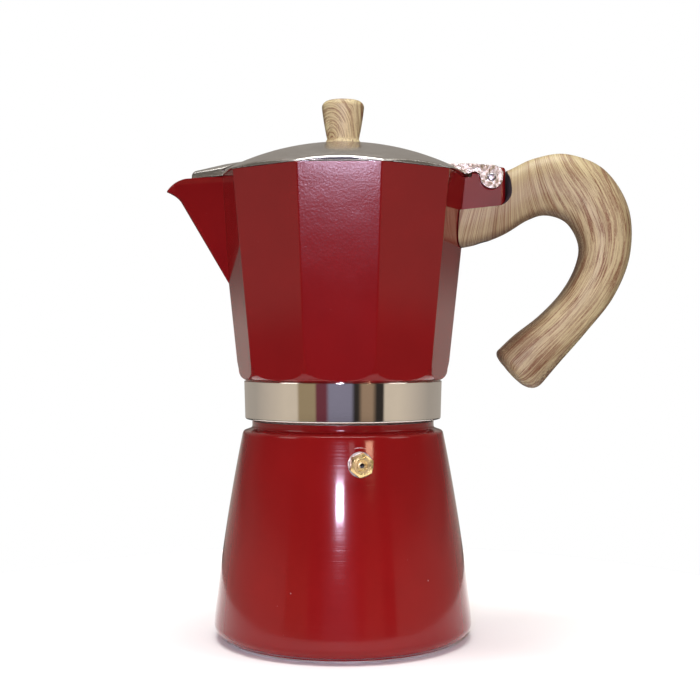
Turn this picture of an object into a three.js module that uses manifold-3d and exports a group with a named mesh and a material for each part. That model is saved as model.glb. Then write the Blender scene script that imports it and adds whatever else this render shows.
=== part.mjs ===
// A six-cup stovetop moka pot: a conical boiler with a safety valve, a funnel with its sieve, a gasket and a
// filter plate, and a ten-sided jug with a spout, a hinged lid and a hooked handle.
// Millimetres, +Z up. The origin is the centre of the boiler's flat bottom. The spout points along -X and the
// handle along +X.
import * as THREE from "three";
import { mergeVertices } from "three/addons/utils/BufferGeometryUtils.js";
import Module from "manifold-3d";

const wasm = await Module();
wasm.setup();

// ---------------------------------------------------------------- driving dimensions

const ROUND = 36; // sides of a large turned piece
const FINE = 20; // sides of a small turned piece
const STACK_GAP = 0.1; // between pieces that rest on each other
const FIT = 0.15; // radial clearance of a screw or stem in its hole
const RUNNING_FIT = 0.08; // radial clearance of the hinge's pin in the lid's ears
const PIN_FIT = 0.03; // and in the jug's boss, which holds it

const boiler = {
  footRadius: 46.4,
  footHeight: 1.0,
  radius: 51.0, // the widest place, just over the bottom corner
  radiusHeight: 6.4,
  cornerInset: 3.6, // how far the bottom corner rounds in over the foot
  shoulderRadius: 39.9,
  shoulderHeight: 80.4,
  bulge: 1.9, // how far the flank's control point stands outside a straight cone
  wall: 2.5,
  floor: 3.2,
  neckRadius: 36.1, // the plain neck, and the thread's crest
  neckBore: 31.8,
  neckFoot: 83.2, // where the shoulder meets the neck
  height: 93.6,
};

const thread = {
  lead: 3.0,
  turns: 1.8,
  depth: 0.9,
  ridgeWidth: 1.9, // at the root
  crestWidth: 0.7,
  crestClearance: 0.45, // between the two crests, so that the jug also lifts straight off
  start: boiler.height - 6.4, // height of the male ridge's lower end
};

const valve = {
  bearing: -79.5, // degrees about +Z from +X
  height: 71.3,
  seat: 40.5, // distance of the spot face from the pot's axis
  spotRadius: 4.9,
  bossRadius: 6.2,
  bossDepth: 5.6, // how far the boss inside the wall reaches towards the axis from the seat
  acrossFlats: 7.9,
  hexLength: 4.0,
  chamfer: 0.7,
  washerRadius: 4.3,
  washerThickness: 0.8,
  stemRadius: 3.0,
  stemLength: 8.6,
  chamberRadius: 2.0,
  ventRadius: 0.95,
  ventLength: 2.2,
  ringRadius: 1.8, // the turned recess round the vent
  ringDepth: 0.6,
  ballRadius: 1.65,
  plugRadius: 2.35,
  plugLength: 1.9,
  plugBore: 1.0,
  springRadius: 1.45,
  wireRadius: 0.25,
  coils: 4.5,
};

const funnel = {
  flangeRadius: 34.9,
  flangeThickness: 1.0,
  basketRadius: 29.4, // outside, under the flange
  basketTaper: 0.6,
  basketDepth: 22.6,
  wall: 0.9,
  ledge: 1.3, // the step that carries the sieve
  coneDepth: 9.5,
  stemRadius: 5.6,
  stemTaper: 0.7,
  boreRadius: 4.5,
  endClearance: 6.0, // over the boiler's floor
};

const sieve = { thickness: 0.6, holeRadius: 0.9, pitch: 7.0, rings: 3 };
const gasket = { outerRadius: 35.7, innerRadius: 27.6, thickness: 3.2 };
const plate = { radius: 33.0, thickness: 0.8, holeRadius: 0.9, pitch: 6.8, rings: 3 };

const jug = {
  sides: 10,
  rimRadius: 50.2, // to the corners of the rim
  bottomRadius: 41.608, // to the corners where the painted body ends
  rimHeight: boiler.height + 87.8,
  wall: 2.4,
  bottom: boiler.height + 7.5, // where the painted body steps in to the polished skirt
  bottomRound: 4.6,
  floor: boiler.height + 11.0,
  skirtRadius: 39.3,
  skirtTaper: 0.4,
  skirtBottom: boiler.height - 7.5,
  skirtRound: 0.9,
  cavityRadius: 26.0, // the coffee's way from the filter plate to the column
  cavityDepth: 2.4,
};

const column = {
  baseRadius: 9.0,
  topRadius: 6.3,
  height: boiler.height + 70.4,
  baseBore: 4.6,
  topBore: 3.6,
  cap: 2.6, // thickness of the closed top
  outletWidth: 3.4,
  outletHeight: 8.0,
};

const spout = {
  rootHalfWidth: 9.6, // at the rim, where it leaves the jug's wall
  keelBottom: { x: 4.3 - jug.rimRadius, z: jug.rimHeight - 41.2 },
  keelTop: { x: -jug.rimRadius - 14.3, z: jug.rimHeight - 9.6 },
  tip: { x: -jug.rimRadius - 20.5, z: jug.rimHeight - 4.6 },
  lipBack: { x: -jug.rimRadius - 13.4 }, // where the lip's edge comes up to the rim
  noseHalfWidth: 2.3,
  wall: 1.7,
};

const hinge = {
  pinX: jug.rimRadius + 8.3,
  pinZ: jug.rimHeight - 0.4,
  pinRadius: 1.5,
  bossHalfWidth: 5.8,
  bossEnd: jug.rimRadius + 14.1,
  bossTop: jug.rimHeight + 3.8,
  bossBottom: jug.rimHeight - 14.6,
  bossSweep: 7.7, // the boss stays inside this radius of the pin where the lid's bridge swings past
  earGap: 0.35,
  earThickness: 2.5,
  earRadius: 4.4,
  armTop: 5.4, // of the bridge over the pin's height
  armEndTop: 4.8, // of the arms at the pin
  armBottom: 1.3,
  bridgeClearance: 0.5,
};

const lid = {
  overhang: 0.3, // beyond the jug's rim
  gap: 0.25, // over the rim
  domeHeight: jug.rimHeight + 13.45, // of the flat under the knob
  domeRadius: 102,
  landMargin: 0.6, // how far that flat reaches beyond the knob's foot
  thickness: 1.4,
  hoodRidge: { tip: 3.5, root: 6.2, back: 7.8 }, // heights over the rim of the ridge of the hood on the spout
  hoodEave: { tip: 2.6, root: 3.4, back: 6.6 }, // and of its two sides' upper edges
  hoodEnd: -jug.rimRadius - 10.1,
  hoodBack: 15.2 - jug.rimRadius, // where the hood has run into the dome
  hoodEndHalfWidth: 3.2,
  hoodCrest: 0.8, // half width of the flat along the ridge
  holeRadius: 2.1,
};

const knob = {
  topRadius: 8.45,
  neckRadius: 6.35,
  footRadius: 7.4,
  height: 17.85,
  neckHeight: 2.5,
  round: 2.6,
  crown: 0.6,
};
const insert = { radius: 2.6, length: 9.0 };
const knobScrew = {
  radius: 1.6,
  headRadius: 3.4,
  headHeight: 2.1,
  length: 11.0,
  washerRadius: 5.2,
  washerThickness: 0.8,
};

const handle = {
  halfWidth: 9.8,
  jugGap: 0.35,
  notchInner: { x: jug.rimRadius + 14.55, z: jug.rimHeight - 12.4 }, // end wall and floor of the notch beside the boss
  notchFlare: 1.4, // how far the notch opens out towards the handle's two sides
  notchRound: 6.0,
  notchSlope: 0.11,
  sections: 27,
  sectionPoints: 16,
  squareness: 2.5, // exponent of the superellipse across the handle
};
// Matching points of the handle's inner and outer outlines, with its half width there, from the jug to the tip.
// They are measured from the corner of the jug's rim.
const HANDLE_STATIONS = [
  { inner: [-6.2, -28.0], outer: [-6.2, -3.4], half: 9.8 },
  { inner: [3.8, -26.0], outer: [5.3, 0.0], half: 9.8 },
  { inner: [13.8, -22.2], outer: [15.3, 3.2], half: 10.0 },
  { inner: [23.3, -16.5], outer: [25.8, 7.9], half: 10.2 },
  { inner: [30.8, -14.5], outer: [38.8, 9.5], half: 10.6 },
  { inner: [39.0, -17.6], outer: [53.4, 3.2], half: 10.9 },
  { inner: [43.6, -26.4], outer: [62.8, -11.9], half: 11.0 },
  { inner: [42.0, -35.6], outer: [63.4, -30.4], half: 11.0 },
  { inner: [36.4, -45.4], outer: [57.0, -47.0], half: 10.9 },
  { inner: [27.8, -54.5], outer: [46.2, -61.0], half: 10.9 },
  { inner: [18.2, -62.0], outer: [35.4, -73.4], half: 11.2 },
  { inner: [12.0, -67.8], outer: [29.2, -80.8], half: 11.2 },
];
const HANDLE_END = { inner: [11.6, -74.2], outer: [23.2, -83.8], half: 9.0 };

const handleScrew = {
  x: jug.rimRadius + 4.8,
  radius: 1.9,
  headRadius: 2.8,
  headHeight: 2.0,
  washerRadius: 3.0,
  washerThickness: 0.7,
  seat: jug.rimHeight - 20.0, // height of the counterbore's floor
  boreRadius: 3.2,
  reach: 16.0,
};

// ---------------------------------------------------------------- colours and finishes

const finish = {
  enamel: new THREE.MeshStandardMaterial({ color: 0x8c1a1c, roughness: 0.18, metalness: 0.0 }),
  polished: new THREE.MeshStandardMaterial({ color: 0xc9c6c0, roughness: 0.15, metalness: 1.0 }),
  aluminium: new THREE.MeshStandardMaterial({ color: 0xb9b9b6, roughness: 0.42, metalness: 1.0 }),
  steel: new THREE.MeshStandardMaterial({ color: 0xc4c6c8, roughness: 0.25, metalness: 1.0 }),
  brass: new THREE.MeshStandardMaterial({ color: 0xd2a64a, roughness: 0.25, metalness: 1.0 }),
  rubber: new THREE.MeshStandardMaterial({ color: 0xe6e3dc, roughness: 0.6, metalness: 0.0 }),
  woodgrain: new THREE.MeshStandardMaterial({ color: 0xb99a6c, roughness: 0.4, metalness: 0.0 }),
};

// ---------------------------------------------------------------- solids

function manifold(position, triVerts) {
  return new wasm.Manifold(new wasm.Mesh({ numProp: 3, vertProperties: position, triVerts }));
}

// A closed three.js geometry as a manifold-3d solid whose faces point out.
function solid(geometry) {
  const bare = geometry.index ? geometry.toNonIndexed() : geometry.clone();
  bare.deleteAttribute("normal");
  bare.deleteAttribute("uv");
  const merged = mergeVertices(bare, 1e-4);
  const kept = [];
  const index = merged.index.array;
  for (let i = 0; i < index.length; i += 3) {
    const [a, b, c] = index.slice(i, i + 3);
    if (a !== b && b !== c && c !== a) kept.push([a, b, c]);
  }
  const position = merged.attributes.position.array;
  const made = manifold(position, new Uint32Array(kept.flat()));
  if (made.volume() > 0) return made;
  return manifold(position, new Uint32Array(kept.flatMap(([a, b, c]) => [a, c, b])));
}

const join = (...parts) => parts.reduce((sum, part) => sum.add(part));
const cut = (body, ...tools) => tools.reduce((rest, tool) => rest.subtract(tool), body);

// A named mesh of a finished solid.
function piece(name, body, material) {
  const mesh = body.getMesh();
  const position = new Float32Array(mesh.numVert * 3);
  for (let i = 0; i < mesh.numVert; i++) {
    position.set(mesh.vertProperties.subarray(i * mesh.numProp, i * mesh.numProp + 3), i * 3);
  }
  const geometry = new THREE.BufferGeometry()
    .setAttribute("position", new THREE.BufferAttribute(position, 3))
    .setIndex(new THREE.BufferAttribute(new Uint32Array(mesh.triVerts), 1));
  geometry.computeVertexNormals();
  const made = new THREE.Mesh(geometry, material);
  made.name = name;
  return made;
}

// A solid turned about +Z from [radius, height] points, which start and end on the axis or close on themselves.
function turned(profile, sides = ROUND) {
  const points = profile.map(([r, z]) => new THREE.Vector2(r, z));
  return solid(new THREE.LatheGeometry(points, sides).rotateX(Math.PI / 2));
}

// A turned ring or tube: the profile's first point is repeated at its end.
const turnedRing = (profile, sides) => turned([...profile, profile[0]], sides);

// A straight or tapered prism round +Z with a corner on +X.
function prism(bottomRadius, topRadius, bottom, top, sides) {
  const height = top - bottom;
  const geometry = new THREE.CylinderGeometry(topRadius, bottomRadius, height, sides, 1, false, Math.PI / 2);
  return solid(geometry.rotateX(Math.PI / 2).translate(0, 0, bottom + height / 2));
}

const rod = (radius, bottom, top, sides = FINE) => prism(radius, radius, bottom, top, sides);

function block([x0, x1], [y0, y1], [z0, z1]) {
  const geometry = new THREE.BoxGeometry(x1 - x0, y1 - y0, z1 - z0);
  return solid(geometry.translate((x0 + x1) / 2, (y0 + y1) / 2, (z0 + z1) / 2));
}

// A solid through rings that all have the same number of points. Each end is closed by a fan from its middle.
function loft(rings) {
  const sides = rings[0].length;
  const points = rings.flat();
  const index = [];
  for (let ring = 0; ring + 1 < rings.length; ring++) {
    for (let i = 0; i < sides; i++) {
      const a = ring * sides + i;
      const b = ring * sides + ((i + 1) % sides);
      index.push(a, b, a + sides, b, b + sides, a + sides);
    }
  }
  const closeEnd = (start, order) => {
    const ring = points.slice(start, start + sides);
    const middle = ring.reduce((sum, p) => sum.add(p), new THREE.Vector3()).divideScalar(sides);
    points.push(middle);
    for (let i = 0; i < sides; i++) {
      index.push(points.length - 1, start + order(i), start + order(i + 1));
    }
  };
  closeEnd(0, (i) => (sides - i) % sides);
  closeEnd((rings.length - 1) * sides, (i) => i % sides);
  return solid(new THREE.BufferGeometry().setFromPoints(points).setIndex(index));
}

// A solid between two planes of constant Y, from [x, z] outline points.
function sidePlate(outline, y0, y1) {
  const ring = (y) => outline.map(([x, z]) => new THREE.Vector3(x, y, z));
  const shape = new THREE.Shape(ring(0).map((p) => new THREE.Vector2(p.x, p.z)));
  const geometry = new THREE.ExtrudeGeometry(shape, { depth: y1 - y0, bevelEnabled: false });
  return solid(geometry.rotateX(Math.PI / 2).translate(0, y1, 0));
}

// Points of an arc about [x, z], angles in degrees from the first axis.
function arc([x, z], radius, from, to, steps) {
  return Array.from({ length: steps + 1 }, (_, i) => {
    const angle = THREE.MathUtils.degToRad(THREE.MathUtils.lerp(from, to, i / steps));
    return [x + radius * Math.cos(angle), z + radius * Math.sin(angle)];
  });
}

// A screw-thread ridge that fades in and out over an eighth of a turn at each end.
function threadRidge(rootRadius, crestRadius, start) {
  const sunk = 0.35 * Math.sign(rootRadius - crestRadius);
  const steps = Math.round(thread.turns * ROUND);
  const fadeSteps = ROUND / 8;
  const rings = [];
  for (let i = 0; i <= steps; i++) {
    const angle = (i / ROUND) * 2 * Math.PI;
    const z = start + (thread.lead * i) / ROUND;
    const rise = Math.min(1, (i + 1) / fadeSteps, (steps - i + 1) / fadeSteps);
    const crest = rootRadius + (crestRadius - rootRadius) * rise;
    const at = (radius, dz) => new THREE.Vector3(radius * Math.cos(angle), radius * Math.sin(angle), z + dz);
    rings.push([
      at(rootRadius + sunk, -thread.ridgeWidth / 2),
      at(crest, -thread.crestWidth / 2),
      at(crest, thread.crestWidth / 2),
      at(rootRadius + sunk, thread.ridgeWidth / 2),
    ]);
  }
  return loft(rings);
}

// A disc with round holes on a triangular grid inside its plain rim.
function perforated(radius, bottom, thickness, { holeRadius, pitch, rings }) {
  const holes = [];
  for (let q = -rings; q <= rings; q++) {
    for (let r = Math.max(-rings, -q - rings); r <= Math.min(rings, -q + rings); r++) {
      const x = pitch * (q + r / 2);
      const y = (pitch * r * Math.sqrt(3)) / 2;
      holes.push(rod(holeRadius, bottom - 1, bottom + thickness + 1, 5).translate([x, y, 0]));
    }
  }
  return cut(rod(radius, bottom, bottom + thickness, ROUND), join(...holes));
}

// ---------------------------------------------------------------- stack of levels above the boiler

const flangeBottom = boiler.height + STACK_GAP;
const flangeTop = flangeBottom + funnel.flangeThickness;
const gasketBottom = flangeTop + STACK_GAP;
const plateBottom = gasketBottom + gasket.thickness + STACK_GAP;
const skirtSeat = plateBottom + plate.thickness + STACK_GAP; // the skirt's inner roof, which clamps the stack
const femaleCrest = boiler.neckRadius + thread.crestClearance;

// ---------------------------------------------------------------- boiler

// Radius of the boiler's curved flank at a height, a quadratic curve from its widest place to its shoulder.
function flank(steps, inset) {
  const low = new THREE.Vector2(boiler.radius - inset, boiler.radiusHeight);
  const high = new THREE.Vector2(boiler.shoulderRadius - inset, boiler.shoulderHeight);
  const middle = low.clone().lerp(high, 0.5);
  middle.x += boiler.bulge;
  return new THREE.QuadraticBezierCurve(low, middle, high).getPoints(steps).map((p) => [p.x, p.y]);
}

function boilerBody() {
  const corner = new THREE.QuadraticBezierCurve(
    new THREE.Vector2(boiler.radius - boiler.cornerInset, boiler.footHeight),
    new THREE.Vector2(boiler.radius - 0.1, boiler.footHeight + 0.4),
    new THREE.Vector2(boiler.radius, boiler.radiusHeight),
  );
  const rootRadius = boiler.neckRadius - thread.depth;
  const outside = [
    [0, 0],
    [boiler.footRadius, 0],
    [boiler.footRadius, boiler.footHeight],
    ...corner.getPoints(4).map((p) => [p.x, p.y]),
    ...flank(5, 0).slice(1),
    [boiler.shoulderRadius - 0.9, boiler.shoulderHeight + 1.2],
    [boiler.neckRadius, boiler.neckFoot],
    [boiler.neckRadius, thread.start - thread.ridgeWidth],
    [rootRadius, thread.start - thread.ridgeWidth + thread.depth],
    [rootRadius, boiler.height],
  ];
  const inside = [
    [boiler.neckBore, boiler.height],
    [boiler.neckBore, boiler.neckFoot],
    ...flank(4, boiler.wall).reverse(),
    [boiler.radius - boiler.wall - 3.5, boiler.floor],
    [0, boiler.floor],
  ];
  const shell = join(
    turned([...outside, ...inside]),
    threadRidge(rootRadius, boiler.neckRadius, thread.start),
  );
  return cut(join(shell, valvePlace(valveBoss())), valvePlace(valveSeatCut()));
}

// ---------------------------------------------------------------- safety valve, built along +Z from the pot's axis

function valvePlace(body) {
  return body.rotate([0, 90, 0]).rotate([0, 0, valve.bearing]).translate([0, 0, valve.height]);
}

const valveInner = valve.seat - valve.stemLength; // the valve's inner end
const hexBack = valve.seat + valve.washerThickness + 2 * STACK_GAP;
const hexFront = hexBack + valve.hexLength;
const chamberFront = hexFront - valve.ventLength;
const plugFront = valveInner + valve.plugLength;
const ballCentre = plugFront + Math.sqrt(valve.ballRadius ** 2 - valve.plugBore ** 2) + STACK_GAP;

function valveBoss() {
  return rod(valve.bossRadius, valve.seat - valve.bossDepth, valve.seat);
}

function valveSeatCut() {
  const beyond = 8;
  return join(
    rod(valve.spotRadius, valve.seat, valve.seat + beyond),
    rod(valve.stemRadius + FIT, valve.seat - beyond, valve.seat + 1),
  );
}

function valveBody() {
  const corner = valve.acrossFlats / Math.sqrt(3);
  const hex = prism(corner, corner, hexBack, hexFront, 6).rotate([0, 0, 30]);
  const flat = valve.acrossFlats / 2;
  const chamfered = turned([
    [0, hexBack],
    [corner, hexBack],
    [corner, hexFront - valve.chamfer],
    [flat - 0.4, hexFront],
    [0, hexFront],
  ], FINE);
  const stem = rod(valve.stemRadius, valveInner, hexBack + 0.5);
  const bore = turned([
    [0, valveInner - 1],
    [valve.plugRadius + FIT, valveInner - 1],
    [valve.plugRadius + FIT, plugFront + STACK_GAP],
    [valve.chamberRadius, plugFront + STACK_GAP],
    [valve.chamberRadius, chamberFront],
    [valve.ventRadius, chamberFront],
    [valve.ventRadius, hexFront - valve.ringDepth],
    [valve.ringRadius, hexFront - valve.ringDepth],
    [valve.ringRadius + 0.3, hexFront + 1],
    [0, hexFront + 1],
  ], FINE);
  return cut(join(hex.intersect(chamfered), stem), bore);
}

function valveWasher() {
  const bottom = valve.seat + STACK_GAP;
  return cut(
    rod(valve.washerRadius, bottom, bottom + valve.washerThickness),
    rod(valve.stemRadius + FIT, bottom - 1, bottom + 2),
  );
}

function valvePlug() {
  return cut(rod(valve.plugRadius, valveInner, plugFront), rod(valve.plugBore, valveInner - 1, plugFront + 1, 12));
}

function valveBall() {
  return solid(new THREE.SphereGeometry(valve.ballRadius, 14, 10)).translate([0, 0, ballCentre]);
}

function valveSpring() {
  const bottom = ballCentre + valve.ballRadius + valve.wireRadius + STACK_GAP;
  const top = chamberFront - valve.wireRadius - STACK_GAP;
  const steps = Math.round(valve.coils * 12);
  const rings = [];
  for (let i = 0; i <= steps; i++) {
    const angle = (i / 12) * 2 * Math.PI;
    const z = THREE.MathUtils.lerp(bottom, top, i / steps);
    const out = new THREE.Vector3(Math.cos(angle), Math.sin(angle), 0);
    const centre = out.clone().multiplyScalar(valve.springRadius).setZ(z);
    rings.push(
      Array.from({ length: 6 }, (_, k) => {
        const a = (k / 6) * 2 * Math.PI;
        const point = centre.clone().addScaledVector(out, valve.wireRadius * Math.cos(a));
        return point.setZ(z + valve.wireRadius * Math.sin(a));
      }),
    );
  }
  return loft(rings);
}

// ---------------------------------------------------------------- funnel, sieve, gasket and filter plate

const basketBottom = flangeBottom - funnel.basketDepth;
const basketLowRadius = funnel.basketRadius - funnel.basketTaper;
const sieveRadius = basketLowRadius - funnel.wall - 0.25;
const stemEnd = boiler.floor + funnel.endClearance;
const stemTop = basketBottom - funnel.coneDepth;

function funnelBody() {
  const ledgeRadius = basketLowRadius - funnel.wall - funnel.ledge;
  return turnedRing([
    [funnel.stemRadius - funnel.stemTaper, stemEnd],
    [funnel.stemRadius, stemTop],
    [basketLowRadius - 1.4, basketBottom - 1.6],
    [basketLowRadius, basketBottom],
    [funnel.basketRadius, flangeBottom],
    [funnel.flangeRadius, flangeBottom],
    [funnel.flangeRadius, flangeTop],
    [funnel.basketRadius - funnel.wall, flangeTop],
    [basketLowRadius - funnel.wall, basketBottom + 1.2],
    [ledgeRadius, basketBottom + 1.2],
    [ledgeRadius - 0.4, basketBottom - 0.2],
    [funnel.boreRadius, stemTop + 0.8],
    [funnel.boreRadius - funnel.stemTaper, stemEnd],
  ]);
}

const sieveBottom = basketBottom + 1.2 + STACK_GAP;
const funnelSieve = () => perforated(sieveRadius, sieveBottom, sieve.thickness, sieve);
const filterPlate = () => perforated(plate.radius, plateBottom, plate.thickness, plate);

function gasketRing() {
  const top = gasketBottom + gasket.thickness;
  return turnedRing([
    [gasket.innerRadius, gasketBottom],
    [gasket.outerRadius - 0.3, gasketBottom],
    [gasket.outerRadius, gasketBottom + 0.3],
    [gasket.outerRadius, top - 0.3],
    [gasket.outerRadius - 0.3, top],
    [gasket.innerRadius, top],
  ]);
}

// ---------------------------------------------------------------- jug

const jugTaper = (jug.rimRadius - jug.bottomRadius) / (jug.rimHeight - jug.bottom);
const jugRadius = (z, inset = 0) =>
  jug.rimRadius - jugTaper * (jug.rimHeight - z) - inset / Math.cos(Math.PI / jug.sides);

// The jug's ten-sided taper between two heights, moved in by a wall thickness.
const tenSided = (inset, bottom, top) => prism(jugRadius(bottom, inset), jugRadius(top, inset), bottom, top, jug.sides);

// Half width of the spout where it leaves the jug, at a height.
const spoutRoot = (z) =>
  (spout.rootHalfWidth * (z - spout.keelBottom.z)) / (jug.rimHeight - spout.keelBottom.z);

// The spout's foremost X at a height: a straight keel, then a lip that curls out to the tip and back up.
function spoutFront() {
  const { keelBottom, keelTop, tip, lipBack } = spout;
  const under = new THREE.QuadraticBezierCurve(
    new THREE.Vector2(keelTop.x, keelTop.z),
    new THREE.Vector2(keelTop.x - 1.4, tip.z - 2.3),
    new THREE.Vector2(tip.x, tip.z - 0.4),
  );
  const over = new THREE.QuadraticBezierCurve(
    new THREE.Vector2(tip.x, tip.z + 0.1),
    new THREE.Vector2(tip.x + 2.6, jug.rimHeight - 0.6),
    new THREE.Vector2(lipBack.x, jug.rimHeight),
  );
  return [new THREE.Vector2(keelBottom.x + 1, keelBottom.z - 1.7), ...under.getPoints(4), ...over.getPoints(4)];
}

// A level ring of the spout: its two sides run from the root inside the wall to a round nose.
function spoutRing(front, z, inset) {
  const root = Math.max(0.4, spoutRoot(z) - inset);
  const reach = Math.min(1, (z - spout.keelBottom.z) / 12);
  const nose = Math.max(0.3, Math.min(spout.noseHalfWidth * Math.max(reach, 0.2), root) - inset * 0.6);
  const wallX = -(jugRadius(z) - Math.tan(Math.PI / jug.sides) * root);
  const side = (sign) => [new THREE.Vector3(-40, sign * root, z), new THREE.Vector3(Math.max(wallX, front), sign * root, z)];
  const round = [-60, -20, 20, 60].map((degrees) => {
    const angle = THREE.MathUtils.degToRad(degrees);
    return new THREE.Vector3(front + nose * (1 - Math.cos(angle)), nose * Math.sin(angle), z);
  });
  return [...side(-1), ...round, ...side(1).reverse()];
}

function spoutOutside() {
  return loft(spoutFront().map((p) => spoutRing(p.x, p.y, 0)));
}

function spoutChannel() {
  const { keelBottom, keelTop, tip, wall } = spout;
  const levels = [
    [keelBottom.x + 3.2, keelBottom.z + 3],
    [keelTop.x + wall * 1.3, keelTop.z],
    [tip.x + 3.0, tip.z - 0.2],
    [tip.x + 1.3, tip.z + 0.9],
    [tip.x + 1.3, jug.rimHeight + 3],
  ];
  return loft(levels.map(([x, z]) => spoutRing(x, z, wall)));
}

function hingeBoss() {
  const { pinX, pinZ, bossEnd, bossTop, bossBottom, bossSweep } = hinge;
  const inWall = jugRadius(bossBottom) - jug.wall;
  const topReach = bossTop - pinZ;
  const sweepTop = THREE.MathUtils.radToDeg(Math.asin(topReach / bossSweep));
  const outline = [
    [inWall, bossBottom],
    [bossEnd, bossBottom],
    [bossEnd, bossTop - 1.5],
    [bossEnd - 1.5, bossTop],
    ...arc([pinX, pinZ], bossSweep, 180 - sweepTop, 176, 4),
    [inWall, jug.rimHeight - 0.4],
  ];
  return sidePlate(outline, -hinge.bossHalfWidth, hinge.bossHalfWidth);
}

// Everything the jug's outside is made of, before it is hollowed.
function jugOutside() {
  const round = jug.bottomRound;
  const skirtTop = jug.bottom;
  const envelope = turned([
    [0, jug.skirtBottom],
    [jug.skirtRadius - jug.skirtTaper - jug.skirtRound, jug.skirtBottom],
    [jug.skirtRadius - jug.skirtTaper, jug.skirtBottom + jug.skirtRound],
    [jug.skirtRadius, skirtTop],
    ...arc([jugRadius(skirtTop) - round, skirtTop + round], round, -78, 0, 4),
    [jug.rimRadius + 5, jug.rimHeight - 20],
    [jug.rimRadius + 5, jug.rimHeight],
    [0, jug.rimHeight],
  ]);
  const skirt = rod(jug.skirtRadius, jug.skirtBottom, jug.bottom + 1, ROUND);
  const body = join(tenSided(0, jug.bottom, jug.rimHeight), skirt);
  return join(envelope.intersect(body), spoutOutside(), hingeBoss());
}

function skirtBore() {
  const root = femaleCrest + thread.depth;
  const recess = skirtSeat + jug.cavityDepth;
  const reliefTop = thread.start + thread.lead * (thread.turns + 0.5) + thread.ridgeWidth / 2 + 0.3;
  const bore = turned([
    [0, jug.skirtBottom - 1],
    [root, jug.skirtBottom - 1],
    [root, reliefTop],
    [femaleCrest, reliefTop + thread.depth],
    [femaleCrest, skirtSeat],
    [jug.cavityRadius, skirtSeat],
    [column.baseBore + 2, recess],
    [0, recess],
  ]);
  return cut(bore, threadRidge(root, femaleCrest, thread.start + thread.lead / 2));
}

function coffeeColumn() {
  return turned([
    [0, jug.floor - 1],
    [column.baseRadius + 2, jug.floor - 1],
    [column.baseRadius + 1.4, jug.floor + 0.8],
    [column.baseRadius, jug.floor + 3],
    [column.topRadius, column.height - 2],
    [column.topRadius - 1.6, column.height - 0.3],
    [0, column.height],
  ], FINE);
}

function columnBore() {
  const top = column.height - column.cap;
  const way = turned([
    [0, skirtSeat],
    [column.baseBore + 0.5, skirtSeat],
    [column.baseBore, jug.floor],
    [column.topBore, top],
    [0, top],
  ], FINE);
  const reach = column.topRadius + 1;
  const half = column.outletWidth / 2;
  return join(way, block([-half, half], [-reach, reach], [top - column.outletHeight, top]));
}

const pinHole = (clearance) =>
  rod(hinge.pinRadius + clearance, -20, 20).rotate([90, 0, 0]).translate([hinge.pinX, 0, hinge.pinZ]);

function jugBody() {
  const rim = jug.rimHeight + 3;
  const hollow = join(tenSided(jug.wall, jug.floor, rim), spoutChannel());
  const shell = cut(jugOutside(), cut(hollow, coffeeColumn()));
  const screwHole = rod(handleScrew.radius + FIT, hinge.bossBottom - 1, handleScrewTip + 1, 12);
  return cut(shell, skirtBore(), columnBore(), pinHole(PIN_FIT), screwHole.translate([handleScrew.x, 0, 0]));
}

// ---------------------------------------------------------------- lid, hinge pin and knob

const lidBottom = jug.rimHeight + lid.gap;
const lidRadius = jug.rimRadius + lid.overhang;
const bridgeEnd = hinge.pinX - hinge.bossSweep - hinge.bridgeClearance;
const armHalfWidth = hinge.bossHalfWidth + hinge.earGap + hinge.earThickness;

// The dome, moved in from its outside by nothing or by the lid's thickness. It is flat under the knob's foot.
function dome(inset) {
  const steps = 5;
  const land = knob.footRadius + lid.landMargin;
  const centre = lid.domeHeight - Math.sqrt(lid.domeRadius ** 2 - land ** 2);
  const radius = lid.domeRadius - inset;
  const reach = lidRadius + 1;
  const profile = Array.from({ length: steps + 1 }, (_, i) => {
    const r = THREE.MathUtils.lerp(reach, land, i / steps);
    return [r, centre + Math.sqrt(radius ** 2 - r ** 2)];
  });
  return turned([
    [0, lidBottom - 20],
    [reach, lidBottom - 20],
    ...profile.slice(0, -1),
    [land, lid.domeHeight - inset],
    [0, lid.domeHeight - inset],
  ]);
}

// The pitched hood over the spout, moved in by a wall thickness.
function hood(inset) {
  const { hoodRidge, hoodEave, hoodEnd, hoodBack, hoodEndHalfWidth, hoodCrest } = lid;
  const root = spoutRoot(jug.rimHeight) + 1.2 - inset;
  const end = hoodEndHalfWidth - inset;
  const rootX = -(lidRadius - Math.tan(Math.PI / jug.sides) * root);
  const tipX = hoodEnd + inset;
  const bottom = inset ? lidBottom - 1 : lidBottom;
  const down = inset - jug.rimHeight;
  const section = (x, half, eave, ridge) =>
    [
      [-half, bottom],
      [-half, eave - down],
      [-hoodCrest, ridge - down],
      [hoodCrest, ridge - down],
      [half, eave - down],
      [half, bottom],
    ].map(([y, z]) => new THREE.Vector3(x, y, z));
  return loft([
    section(tipX, end - 0.9, hoodEave.tip - 0.9, hoodRidge.tip - 1.2),
    section(tipX + 1.2, end, hoodEave.tip, hoodRidge.tip),
    section(rootX, root, hoodEave.root, hoodRidge.root),
    section(hoodBack, root, hoodEave.back, hoodRidge.back),
  ]);
}

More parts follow.
